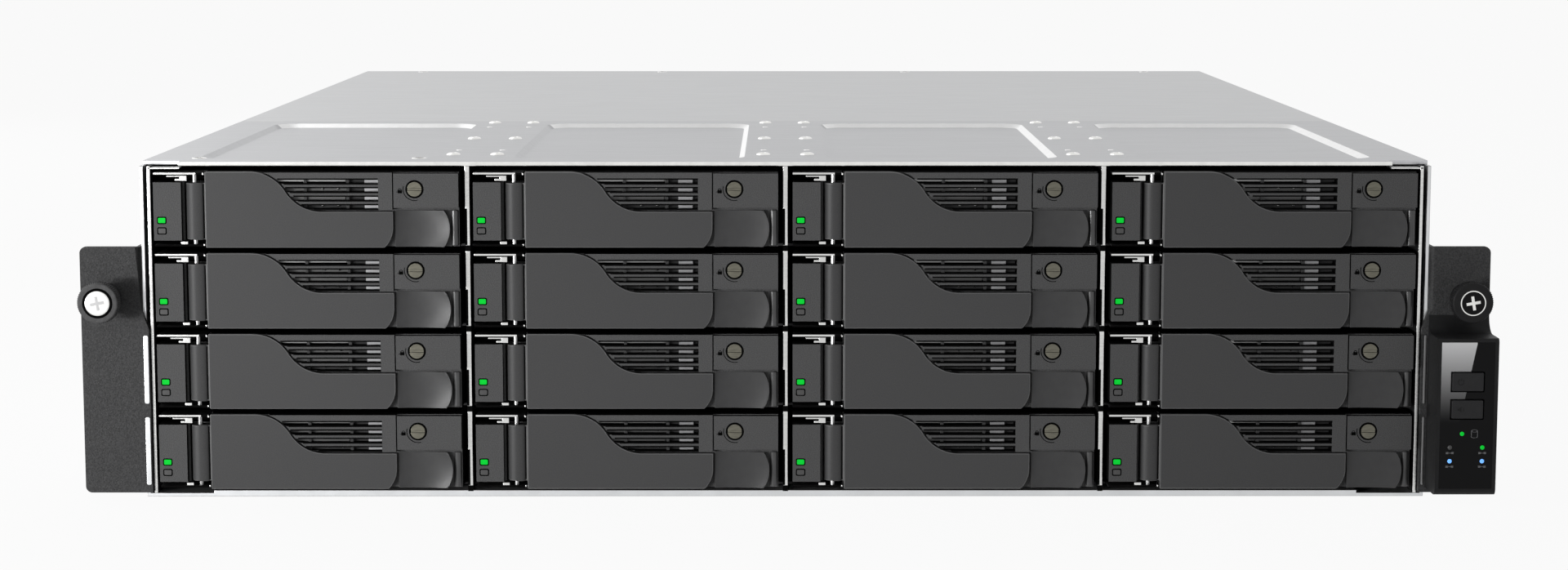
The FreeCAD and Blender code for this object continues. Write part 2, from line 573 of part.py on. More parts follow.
def make_bezel():
    """Moulded tray front: lamp plate, hinge pocket, air grille, lock plate and latch seat."""
    depth = (STEP_Y, "dims.bezel_back")
    raised = (FACE_Y, STEP_Y)
    base_left = f"({LEVER_LEFT} - dims.barrel_room)"
    low_high = ("dims.bezel_margin", f"{TRAY_HEIGHT} - dims.bezel_margin")
    hinge_z = ("dims.hinge_low", HINGE_HIGH)
    lock_left = f"({LEVER_END} + dims.lock_gap)"
    base = box("bezel_base", (base_left, RIGHT), depth, low_high)
    hinge_block = box("bezel_hinge", (LEFT, base_left), depth, hinge_z)
    led_plate = box("bezel_lamp_plate", (LEFT, LED_RIGHT), raised, hinge_z)
    lock_plate = box(
        "bezel_lock_plate",
        (lock_left, RIGHT),
        raised,
        ("dims.arm_height + dims.lock_plate_low", f"{TRAY_HEIGHT} - dims.lock_plate_high"),
    )
    grille_block = box(
        "bezel_grille_block", (WAVE_START, f"{LEVER_END} - dims.lock_gap"), raised, (GRILLE_LOW, low_high[1])
    )
    swing_depth = "dims.face_layer + dims.face_gap"
    swing = plate("lever_room", "XZ_Plane", f"-{STEP_Y}", [lever_outline("dims.face_gap")], swing_depth)
    grille = cut("bezel_grille", grille_block, [swing])
    rib = prism(
        "bezel_rib",
        "z",
        RIB_SIDES,
        "dims.rib_radius",
        (f"{RIGHT} - dims.rib_radius", f"{STEP_Y} + dims.rib_radius - dims.bezel_margin"),
        "dims.bezel_margin",
        GRILLE_LOW,
    )
    solid = joined("bezel_solid", [base, hinge_block, led_plate, lock_plate, grille, rib])

    barrel_pocket = box(
        "bezel_barrel_pocket",
        (f"{HINGE_X} - dims.barrel_radius - dims.barrel_room", f"{base_left} + dims.barrel_room"),
        (FACE_Y, f"{HINGE_Y} + dims.barrel_radius + dims.barrel_room"),
        ("0", TRAY_HEIGHT),
    )
    lock_recess = prism(
        "bezel_lock_recess",
        "y",
        LOCK_SIDES,
        "dims.lock_radius + dims.lock_ring",
        (LOCK_X, LOCK_Z),
        f"{FACE_Y} - dims.face_gap",
        f"{FACE_Y} + dims.lock_depth",
    )
    slots = []
    for row in range(SLOT_ROWS):
        middle = f"dims.arm_height + dims.slot_first + {row} * {SLOT_PITCH}"
        slots.append(box(
            f"bezel_slot_{row + 1}",
            (f"{WAVE_START} - dims.face_gap", f"{RIGHT} - dims.slot_end"),
            (f"{FACE_Y} - dims.face_gap", "dims.bezel_back + dims.face_gap"),
            (f"{middle} - dims.slot_height / 2", f"{middle} + dims.slot_height / 2"),
        ))
    return cut("bezel", solid, [barrel_pocket, lock_recess] + slots)


def make_stem_slot():
    """Room in the bezel for the latch's stem and its stroke."""
    half_width = "(dims.stem_width / 2 + dims.stem_room)"
    half_height = "(dims.stem_height / 2 + dims.stem_room)"
    return box(
        "bezel_stem_slot",
        (f"{STEM_X} - {half_width}", f"{STEM_X} + {half_width} + dims.latch_travel"),
        (f"{STEP_Y} - dims.face_gap", f"{LATCH_BACK} + dims.stem_length + dims.stem_room"),
        (f"{STEM_Z} - {half_height}", f"{STEM_Z} + {half_height}"),
    )


def make_carrier():
    """Steel carrier: front plate, side rails, hinge flanges and the pin riveted between them."""
    carrier_z = ("dims.flange_margin", CARRIER_HIGH)
    front_y = ("dims.bezel_back", "dims.bezel_back + dims.rail_sheet")
    rail_y = ("dims.bezel_back", f"{DRIVE_REAR} + dims.rail_overrun")
    flange_x = (LEFT, BARREL_RIGHT)
    flange_y = (f"{FACE_Y} + dims.flange_setback", front_y[1])
    hinge = (HINGE_X, HINGE_Y)
    return joined("carrier", [
        box("carrier_front", (LEFT, RIGHT), front_y, carrier_z),
        box("carrier_left_rail", (LEFT, f"{LEFT} + dims.rail_sheet"), rail_y, carrier_z),
        box("carrier_right_rail", (f"{RIGHT} - dims.rail_sheet", RIGHT), rail_y, carrier_z),
        box("carrier_low_flange", flange_x, flange_y, ("dims.flange_margin", PIN_LOW)),
        box("carrier_high_flange", flange_x, flange_y, (PIN_HIGH, CARRIER_HIGH)),
        prism("carrier_pin", "z", PIN_SIDES, "dims.pin_radius", hinge, PIN_LOW, PIN_HIGH),
    ])


def make_drive():
    """3.5-inch drive: casting with an inset lid."""
    half = "dims.drive_width / 2"
    lid_z = "dims.drive_lift + dims.drive_height - dims.drive_lid_height"
    casting = box(
        "drive_casting", (f"-{half}", half), ("dims.drive_start", DRIVE_REAR), ("dims.drive_lift", lid_z)
    )
    lid = box(
        "drive_lid",
        (f"dims.drive_lid_inset - {half}", f"{half} - dims.drive_lid_inset"),
        ("dims.drive_start + dims.drive_lid_inset", f"{DRIVE_REAR} - dims.drive_lid_inset"),
        (lid_z, "dims.drive_lift + dims.drive_height"),
    )
    return joined("drive", [casting, lid])


def make_thumb():
    """Thumb plate of the latch, with a round end."""
    outline = [
        (LATCH_LEFT, "dims.latch_low"),
        (LATCH_CHORD, "dims.latch_low", LATCH_RADIUS, "left"),
        (LATCH_CHORD, LATCH_TOP),
        (LATCH_LEFT, LATCH_TOP),
    ]
    return plate("latch_plate", "XZ_Plane", f"-{LATCH_BACK}", [outline], "dims.latch_thick")


def make_stem():
    """Stem that guides the latch in the bezel."""
    return box(
        "latch_stem",
        (f"{STEM_X} - dims.stem_width / 2", f"{STEM_X} + dims.stem_width / 2"),
        (LATCH_BACK, f"{LATCH_BACK} + dims.stem_length"),
        (f"{STEM_Z} - dims.stem_height / 2", f"{STEM_Z} + dims.stem_height / 2"),
    )


def make_disc():
    """Disc of the coin lock."""
    disc_y = (FACE_Y, f"{FACE_Y} + dims.lock_depth")
    return prism("lock_disc", "y", LOCK_SIDES, "dims.lock_radius", (LOCK_X, LOCK_Z), *disc_y)


def make_coin_slot():
    """Slot across the disc's face."""
    return box(
        "lock_slot",
        (f"{LOCK_X} - 2 * dims.lock_radius", f"{LOCK_X} + 2 * dims.lock_radius"),
        (f"{FACE_Y} - dims.coin_slot_depth", f"{FACE_Y} + dims.coin_slot_depth"),
        (f"{LOCK_Z} - dims.coin_slot_width / 2", f"{LOCK_Z} + dims.coin_slot_width / 2"),
    )


def bay_place(number):
    """Where a tray sits; trays count from the top left, along each row."""
    row, column = divmod(number - 1, COLUMNS)
    return {
        "x": f"({column} - {COLUMNS - 1} / 2) * {BAY_PITCH}",
        "z": f"dims.tray_floor + {ROWS - 1 - row} * {ROW_PITCH}",
    }


def make_trays():
    """Sixteen trays and levers; only the first tray's latch and lock move, and are sub-parts of their own."""
    lever = make_lever()
    bezel = make_bezel()
    carrier = make_carrier()
    drive = make_drive()
    thumb = make_thumb()
    disc = make_disc()
    for number in range(1, COLUMNS * ROWS + 1):
        place = bay_place(number)
        if number == 1:
            slotted_bezel = cut("slotted_bezel", bezel, [make_stem_slot()])
            latch = joined("latch", [thumb, make_stem()])
            lock = cut("lock", disc, [make_coin_slot()])
            node(group("tray_1_set", [slotted_bezel, carrier, drive], place), "tray_1")
            node(group("tray_1_latch_set", [latch], place), "tray_1_latch")
            node(group("tray_1_lock_set", [lock], place), "tray_1_lock")
        else:
            pieces = [bezel, carrier, drive, thumb, disc]
            node(group(f"tray_{number}_set", pieces, place), f"tray_{number}")
        node(group(f"tray_{number}_lever_set", [lever], place), f"tray_{number}_lever")


def make_chassis_base():
    """Floor and sides in one folded sheet, with a hemmed front edge and flanges under the cover."""
    length = ("0", "dims.body_depth")
    floor = box("base_floor", (f"-{BODY_HALF}", BODY_HALF), length, ("0", "dims.wall_sheet"))
    lip_half = f"({BODY_HALF} - dims.front_lip_inset)"
    lip = box("base_lip", (f"-{lip_half}", lip_half), ("0", "dims.front_lip_depth"), ("0", "dims.front_lip"))
    walls = []
    flanges = []
    for side, sign in (("left", -1), ("right", 1)):
        wall_x = mirrored(sign, BODY_INNER, BODY_HALF)
        walls.append(box(f"base_{side}_wall", wall_x, length, ("0", TOP_UNDER)))
        flanges.append(box(
            f"base_{side}_flange",
            mirrored(sign, f"{BODY_INNER} - dims.top_flange", BODY_INNER),
            (SEAM_Y, PANEL_Y),
            (f"{TOP_UNDER} - dims.wall_sheet", TOP_UNDER),
        ))
    holes = []
    reach = f"2 * {BODY_HALF}"
    for name, run in (("front", "0"), ("rear", "dims.rail_hole_run")):
        spot = (f"dims.rail_hole_front + {run}", "dims.rail_hole_height")
        holes.append(rod(f"base_{name}_rail_hole", "x", "dims.rail_hole_radius", spot, f"-{reach}", reach))
    sheet_metal = joined("base_sheet", [floor, lip] + walls + flanges)
    node(cut("base", sheet_metal, holes), "chassis_base")


def bay_middle(column):
    """X of a bay's middle, columns counted from 0 at the left."""
    return f"(({column} - {COLUMNS - 1} / 2) * {BAY_PITCH})"


def make_top_plate():
    """Front top plate with notched corners and a pressed panel over each bay."""
    notch_x = f"({BODY_HALF} - dims.top_notch_width)"
    plate_end = f"({SEAM_Y} - dims.seam_width)"
    outline = [
        (f"-{notch_x}", "0"),
        (notch_x, "0"),
        (notch_x, "dims.top_notch_depth"),
        (BODY_HALF, "dims.top_notch_depth"),
        (BODY_HALF, plate_end),
        (f"-{BODY_HALF}", plate_end),
        (f"-{BODY_HALF}", "dims.top_notch_depth"),
        (f"-{notch_x}", "dims.top_notch_depth"),
    ]
    body = plate("top_plate", "XY_Plane", TOP_UNDER, [outline], "dims.top_sheet")
    panel_floor = f"({BODY_HEIGHT} - dims.recess_depth)"
    tubs = draw(body, "top_plate_tubs", "XY_Plane", TOP_UNDER)
    hollows = draw(body, "top_plate_hollows", "XY_Plane", panel_floor)
    for column in range(COLUMNS):
        half = "dims.recess_width / 2"
        middle = bay_middle(column)
        tub_x = (f"{middle} - {half}", f"{middle} + {half}")
        tub_y = ("dims.recess_margin", f"{SEAM_Y} - dims.recess_margin")
        add_outline(tubs, rectangle(tub_x, tub_y))
        inset = "dims.recess_slope"
        hollow_x = (f"{tub_x[0]} + {inset}", f"{tub_x[1]} - {inset}")
        hollow_y = (f"{tub_y[0]} + {inset}", f"{tub_y[1]} - {inset}")
        add_outline(hollows, rounded_rectangle(hollow_x, hollow_y, f"(dims.recess_corner - {inset})"))
    tub_depth = "dims.recess_depth + dims.recess_sheet - dims.top_sheet"
    tub_pad = feature_on(body, "Pad", "top_plate_tub_pad", tubs, Length=tub_depth)
    tub_pad.Reversed = True
    hollow_cut = feature_on(
        body,
        "Pocket",
        "top_plate_hollow_cut",
        hollows,
        Length="dims.recess_depth",
        TaperAngle="atan(dims.recess_slope / dims.recess_depth)",
    )
    hollow_cut.Reversed = True
    node(body, "front_top_plate")


def make_rear_cover():
    """Rear cover, which slides back from the seam to come off."""
    cover = box(
        "cover", (f"-{BODY_HALF}", BODY_HALF), (SEAM_Y, "dims.body_depth"), (TOP_UNDER, BODY_HEIGHT)
    )
    node(cover, "rear_cover")


def make_drive_cage():
    """Cage side walls and dividers, with a ledge under each rail of each tray."""
    divider_y = ("0", f"{DRIVE_REAR} + dims.rail_overrun")
    ledge_y = ("dims.ledge_start", divider_y[1])
    sheets = []
    for number in range(COLUMNS + 1):
        seam_x = f"({number} - {COLUMNS} / 2) * {BAY_PITCH}"
        if number == 0:
            x = (f"-{CAGE_OUTER}", f"-{CAGE_INNER}")
            y = ("0", CAGE_END)
            low = "dims.wall_sheet"
        elif number == COLUMNS:
            x = (CAGE_INNER, CAGE_OUTER)
            y = ("0", CAGE_END)
            low = "dims.wall_sheet"
        else:
            x = (f"{seam_x} - dims.divider_sheet / 2", f"{seam_x} + dims.divider_sheet / 2")
            y = divider_y
            low = "dims.front_lip"
        reach_left = x[0]
        reach_right = x[1]
        if number > 0:
            reach_left = f"{bay_middle(number - 1)} + {RIGHT} - dims.rail_sheet + dims.ledge_gap"
        if number < COLUMNS:
            reach_right = f"{bay_middle(number)} + {LEFT} + dims.rail_sheet - dims.ledge_gap"
        pieces = [box(f"cage_sheet_{number + 1}", x, y, (low, TOP_UNDER))]
        for row in range(ROWS):
            top = f"dims.tray_floor + {row} * {ROW_PITCH} + dims.flange_margin - dims.ledge_gap"
            pieces.append(box(
                f"cage_ledge_{number + 1}_{row + 1}",
                (reach_left, reach_right),
                ledge_y,
                (f"{top} - dims.ledge_thick", top),
            ))
        sheets.append(joined(f"cage_wall_{number + 1}", pieces))
    node(group("cage", sheets), "drive_cage")


def make_backplane():
    """Backplane board with one connector for each drive."""
    board = box(
        "backplane_board",
        (f"-{CAGE_INNER}", CAGE_INNER),
        (BACKPLANE_Y, f"{BACKPLANE_Y} + dims.backplane_thick"),
        ("dims.wall_sheet + dims.backplane_margin", f"{TOP_UNDER} - dims.backplane_margin"),
    )
    pieces = [board]
    for number in range(1, COLUMNS * ROWS + 1):
        place = bay_place(number)
        low = f"{place['z']} + dims.connector_low"
        pieces.append(box(
            f"backplane_connector_{number}",
            (f"{place['x']} - dims.connector_width / 2", f"{place['x']} + dims.connector_width / 2"),
            (f"{DRIVE_REAR} + dims.connector_gap", BACKPLANE_Y),
            (low, f"{low} + dims.connector_height"),
        ))
    node(group("backplane_set", pieces), "backplane")


def make_fans():
    """Three fans: a frame with a motor mount and shaft, and a rotor that turns on the shaft."""
    half = "dims.fan_size / 2"
    strut = "dims.fan_strut / 2"
    frame_x = (f"-{half}", half)
    frame_z = ("dims.wall_sheet", FAN_TOP)
    mount_y = (f"{FAN_REAR} - dims.fan_mount_length", FAN_REAR)
    hub_front = f"({FAN_FRONT} + dims.fan_hub_start)"
    hub_y = (hub_front, f"({hub_front} + dims.fan_hub_length)")
    tunnel_y = (f"{FAN_FRONT} - dims.overcut", f"{FAN_REAR} + dims.overcut")
    shaft_y = (f"{hub_y[1]} - dims.fan_hub_length / 2", FAN_REAR)
    axis = ("0", FAN_AXIS_Z)
    block = box("fan_block", frame_x, (FAN_FRONT, FAN_REAR), frame_z)
    tunnel = prism("fan_tunnel", "y", TUNNEL_SIDES, FAN_BORE, axis, *tunnel_y)
    motor = prism("fan_motor", "y", MOTOR_SIDES, "dims.fan_hub_radius", axis, *mount_y)
    shaft = prism("fan_shaft", "y", PIN_SIDES, "dims.fan_shaft_radius", axis, *shaft_y)
    across = box("fan_strut_across", frame_x, mount_y, (f"{FAN_AXIS_Z} - {strut}", f"{FAN_AXIS_Z} + {strut}"))
    upright = box("fan_strut_upright", (f"-{strut}", strut), mount_y, frame_z)
    frame = joined("fan_frame", [cut("fan_ring", block, [tunnel]), motor, shaft, across, upright])
    rotor = make_rotor(hub_y)
    frames = []
    for number in range(1, FANS + 1):
        place = {"x": f"({number} - {FANS + 1} / 2) * dims.fan_pitch"}
        frames.append(group(f"fan_frame_{number}", [frame], place))
        node(group(f"fan_rotor_{number}_set", [rotor], place), f"fan_rotor_{number}")
    node(group("fan_frame_set", frames), "fan_frames")


def make_rotor(hub_y):
    """Fan hub with slanted blades, patterned round the fan's axis."""
    body = doc.addObject("PartDesign::Body", "rotor")
    hub = draw(body, "rotor_hub", "XZ_Plane", f"-({hub_y[1]})")
    shaft_room = f"(dims.fan_shaft_radius + dims.fan_shaft_clearance) / cos(180deg / {PIN_SIDES})"
    add_outline(hub, polygon(HUB_SIDES, "dims.fan_hub_radius"))
    add_outline(hub, polygon(PIN_SIDES, shaft_room))
    feature_on(body, "Pad", "rotor_hub_pad", hub, Length="dims.fan_hub_length")
    blade = draw(body, "rotor_blade", "XY_Plane", "dims.fan_hub_radius - dims.blade_thick")
    blade_y = f"(({hub_y[0]} + {hub_y[1]}) / 2)"
    corners = []
    for along, thick in ((-1, -1), (1, -1), (1, 1), (-1, 1)):
        a = f"{along} * dims.blade_chord / 2"
        b = f"{thick} * dims.blade_thick / 2"
        turn = "dims.blade_angle * 1deg"
        corners.append((
            f"{a} * sin({turn}) - {b} * cos({turn})",
            f"{blade_y} + {a} * cos({turn}) + {b} * sin({turn})",
        ))
    add_outline(blade, corners)
    reach = f"{FAN_BORE} - dims.fan_tip_gap - dims.fan_hub_radius + dims.blade_thick"
    blade_pad = feature_on(body, "Pad", "rotor_blade_pad", blade, Length=reach)
    doc.recompute()
    fan = body.newObject("PartDesign::PolarPattern", "rotor_blades")
    fan.Originals = [blade_pad]
    axis = [feature for feature in body.Origin.OriginFeatures if feature.Role == "Y_Axis"][0]
    fan.Axis = (axis, [""])
    fan.Angle = 360
    fan.Occurrences = FAN_BLADES
    body.Tip = fan
    body.setExpression("Placement.Base.z", FAN_AXIS_Z)
    return body


def make_mainboard():
    """Mainboard on standoffs, with its heat sink and memory modules."""
    board_x = (BOARD_LEFT, f"{BOARD_LEFT} + dims.board_width")
    board_y = (BOARD_FRONT, BOARD_REAR)
    board = box("mainboard_board", board_x, board_y, (BOARD_UNDER, BOARD_TOP))
    pieces = [board]
    inset = "dims.standoff_inset"
    for number, (right, rear) in enumerate(((0, 0), (1, 0), (0, 1), (1, 1)), start=1):
        spot = (
            f"{board_x[right]} {'-' if right else '+'} {inset}",
            f"{board_y[rear]} {'-' if rear else '+'} {inset}",
        )
        pieces.append(prism(
            f"mainboard_standoff_{number}",
            "z",
            STANDOFF_SIDES,
            "dims.standoff_radius",
            spot,
            "dims.wall_sheet",
            BOARD_UNDER,
        ))
    node(group("mainboard_set", pieces), "mainboard")

    sink_x = f"({BOARD_LEFT} + dims.sink_left)"
    sink_y = f"({BOARD_FRONT} + dims.sink_front)"
    footprint = ((sink_x, f"{sink_x} + dims.sink_size"), (sink_y, f"{sink_y} + dims.sink_size"))
    slab = box("sink_slab", *footprint, (BOARD_TOP, f"{BOARD_TOP} + dims.sink_base"))
    fins = []
    for number in range(SINK_FINS):
        fin_x = f"{sink_x} + {number} * (dims.sink_size - dims.sink_fin) / {SINK_FINS - 1}"
        fins.append(box(
            f"sink_fin_{number + 1}",
            (fin_x, f"{fin_x} + dims.sink_fin"),
            footprint[1],
            (BOARD_TOP, f"{BOARD_TOP} + dims.sink_height"),
        ))
    node(joined("heat_sink_solid", [slab] + fins), "heat_sink")

    modules = []
    for number in range(MEMORY_MODULES):
        left = f"{BOARD_LEFT} + dims.module_left + {number} * dims.module_pitch"
        front = f"{BOARD_FRONT} + dims.module_front"
        modules.append(box(
            f"module_{number + 1}",
            (left, f"{left} + dims.module_thick"),
            (front, f"{front} + dims.module_length"),
            (BOARD_TOP, f"{BOARD_TOP} + dims.module_height"),
        ))
    node(group("module_set", modules), "memory_modules")


def make_supplies():
    """Two hot-swap power supplies in a sheet-metal bay, each with a grip and a mains inlet."""
    bay_y = (SUPPLY_FRONT, PANEL_Y)
    sheets = [box(
        "supply_bay_top",
        (SUPPLY_BAY_LEFT, SUPPLY_BAY_RIGHT),
        bay_y,
        (SUPPLY_BAY_TOP, f"{SUPPLY_BAY_TOP} + dims.bay_sheet"),
    )]
    for number in range(POWER_SUPPLIES + 1):
        left = f"{SUPPLY_BAY_LEFT} + {number} * {SUPPLY_PITCH}"
        sheets.append(box(
            f"supply_bay_wall_{number + 1}",
            (left, f"{left} + dims.bay_sheet"),
            bay_y,
            ("dims.wall_sheet", SUPPLY_BAY_TOP),
        ))
    node(joined("supply_bay_solid", sheets), "supply_bay")

    supply = make_supply()
    for number in range(POWER_SUPPLIES):
        place = {"x": f"{SUPPLY_BAY_LEFT} + dims.bay_sheet + dims.supply_room + {number} * {SUPPLY_PITCH}"}
        node(group(f"supply_{number + 1}_set", [supply], place), f"power_supply_{number + 1}")


def make_supply():
    """One power supply, its left side at X 0 and its rear flush with the chassis."""
    rear = "dims.body_depth"
    low = SUPPLY_LOW
    case_z = (low, f"{low} + dims.supply_height")
    case = box("supply_case", ("0", "dims.supply_width"), (SUPPLY_FRONT, rear), case_z)
    inlet_x = "dims.inlet_margin"
    inlet_z = f"{low} + (dims.supply_height - dims.inlet_height) / 2"
    inlet = box(
        "supply_inlet",
        (inlet_x, f"{inlet_x} + dims.inlet_width"),
        (f"{rear} - dims.inlet_depth", f"{rear} + dims.overcut"),
        (inlet_z, f"{inlet_z} + dims.inlet_height"),
    )
    vents = []
    for number in range(SUPPLY_VENTS):
        left = f"dims.supply_width - dims.supply_vent_width + {number} * dims.supply_vent_pitch"
        vents.append(box(
            f"supply_vent_{number + 1}",
            (left, f"{left} + dims.supply_vent_slot"),
            (f"{rear} - dims.supply_vent_depth", f"{rear} + dims.overcut"),
            (inlet_z, f"{inlet_z} + dims.inlet_height"),
        ))
    grip_x = "dims.inlet_margin + dims.inlet_width + dims.grip_bar / 2"
    grip_z = f"{low} + (dims.supply_height - dims.grip_height) / 2"
    grip_outer = box(
        "supply_grip_block",
        (grip_x, f"{grip_x} + dims.grip_bar"),
        (rear, f"{rear} + dims.grip_reach"),
        (grip_z, f"{grip_z} + dims.grip_height"),
    )
    grip_gap = box(
        "supply_grip_gap",
        (f"{grip_x} - dims.overcut", f"{grip_x} + dims.grip_bar + dims.overcut"),
        (rear, f"{rear} + dims.grip_reach - dims.grip_bar"),
        (f"{grip_z} + dims.grip_bar", f"{grip_z} + dims.grip_height - dims.grip_bar"),
    )
    opened = cut("supply_opened", case, [inlet] + vents)
    return joined("supply", [opened, cut("supply_grip", grip_outer, [grip_gap])])


def socket_left(number):
    """X of a network socket's left side, counted from 0."""
    return f"({BOARD_LEFT} + dims.socket_left + {number} * dims.socket_pitch)"


def make_rear():
    """Rear panel with its cut-outs, and the network sockets that stand in it."""
    rear = "dims.body_depth"
    panel_x = (f"-{BODY_INNER}", BODY_INNER)
    panel = box("panel_sheet", panel_x, (PANEL_Y, rear), ("dims.wall_sheet", TOP_UNDER))
    through = (f"{PANEL_Y} - dims.overcut", f"{rear} + dims.overcut")
    openings = [box(
        "panel_supply_opening",
        (f"{SUPPLY_BAY_LEFT} + dims.bay_sheet", f"{SUPPLY_BAY_RIGHT} - dims.bay_sheet"),
        through,
        ("dims.wall_sheet", SUPPLY_BAY_TOP),
    )]
    sockets = []
    for number in range(NETWORK_SOCKETS):
        left = socket_left(number)
        x = (left, f"{left} + dims.socket_width")
        z = (BOARD_TOP, f"{BOARD_TOP} + dims.socket_height")
        openings.append(box(
            f"panel_socket_opening_{number + 1}",
            (f"{x[0]} - dims.socket_room", f"{x[1]} + dims.socket_room"),
            through,
            (f"{z[0]} - dims.socket_room", f"{z[1]} + dims.socket_room"),
        ))
        shell = box(f"socket_shell_{number + 1}", x, (f"{rear} - dims.socket_length", rear), z)
        cavity = box(
            f"socket_cavity_{number + 1}",
            (f"{x[0]} + dims.socket_wall", f"{x[1]} - dims.socket_wall"),
            (f"{rear} - dims.socket_depth", f"{rear} + dims.overcut"),
            (f"{z[0]} + dims.socket_wall", f"{z[1]} - dims.socket_wall"),
        )
        sockets.append(cut(f"socket_{number + 1}", shell, [cavity]))
    vent_top = f"{TOP_UNDER} - dims.vent_drop"
    for number in range(REAR_VENTS):
        middle = f"({number} - {REAR_VENTS - 1} / 2) * dims.vent_pitch"
        openings.append(box(
            f"panel_vent_{number + 1}",
            (f"{middle} - dims.vent_slot / 2", f"{middle} + dims.vent_slot / 2"),
            through,
            (f"{vent_top} - dims.vent_height", vent_top),
        ))
    node(cut("panel_opened", panel, openings), "rear_panel")
    node(group("socket_set", sockets), "network_sockets")


def make_ears():
    """Rack ears: a front flange that laps the chassis edge low down, and a side plate."""
    ear_top = "(dims.ear_low + dims.ear_height)"
    for side, sign in (("left", -1), ("right", 1)):
        edge = f"{sign} * {EAR_EDGE}"
        inner = f"{sign} * {BODY_HALF}"
        lap = f"{sign} * ({BODY_HALF} - dims.ear_lap)"
        round_x = f"{sign} * ({EAR_EDGE} - dims.ear_corner)"
        turn = "left" if sign < 0 else "right"
        outline = [
            (round_x, "dims.ear_low"),
            (lap, "dims.ear_low"),
            (lap, "dims.ear_lap_top"),
            (inner, "dims.ear_lap_top + dims.ear_lap_slope"),
            (inner, ear_top),
            (round_x, ear_top, "dims.ear_corner", turn),
            (edge, f"{ear_top} - dims.ear_corner"),
            (edge, "dims.ear_low + dims.ear_corner", "dims.ear_corner", turn),
        ]
        flange = plate(f"{side}_flange", "XZ_Plane", "0", [outline], "dims.ear_sheet")
        plate_x = mirrored(sign, BODY_HALF, f"{BODY_HALF} + dims.ear_side_sheet")
        side_plate = box(
            f"{side}_side_plate", plate_x, ("0", "dims.ear_side_length"), ("dims.ear_low", ear_top)
        )
        hole = rod(
            f"{side}_screw_hole",
            "y",
            "dims.neck_radius + dims.neck_clearance",
            (f"{sign} * {SCREW_X}", "dims.screw_height"),
            f"{EAR_FACE} - dims.overcut",
            "dims.overcut",
        )
        sheet_metal = joined(f"{side}_ear_sheet", [flange, side_plate])
        node(cut(f"{side}_ear_solid", sheet_metal, [hole]), f"{side}_ear")


def make_thumbscrews():
    """Captive rack screws: a knob, a neck that turns in the ear, and the thread behind it."""
    axis = ("0", "0")
    knob_back = f"({EAR_FACE} - dims.knob_gap)"
    knob_front = f"({knob_back} - dims.knob_length)"
    head_back = f"({knob_front} + dims.knob_head)"
    neck_y = (knob_back, "dims.neck_past")
    thread_y = ("dims.neck_past", "dims.shank_length")
    screw = joined("screw", [
        prism("screw_knob", "y", KNOB_SIDES, "dims.knob_radius", axis, knob_front, head_back),
        prism("screw_waist", "y", NECK_SIDES, "dims.knob_waist", axis, head_back, knob_back),
        prism("screw_neck", "y", NECK_SIDES, "dims.neck_radius", axis, *neck_y),
        rod("screw_thread", "y", "dims.shank_radius", axis, *thread_y),
    ])
    for side, sign in (("left", -1), ("right", 1)):
        place = {"x": f"{sign} * {SCREW_X}", "z": "dims.screw_height"}
        node(group(f"{side}_screw_set", [screw], place), f"{side}_thumbscrew")


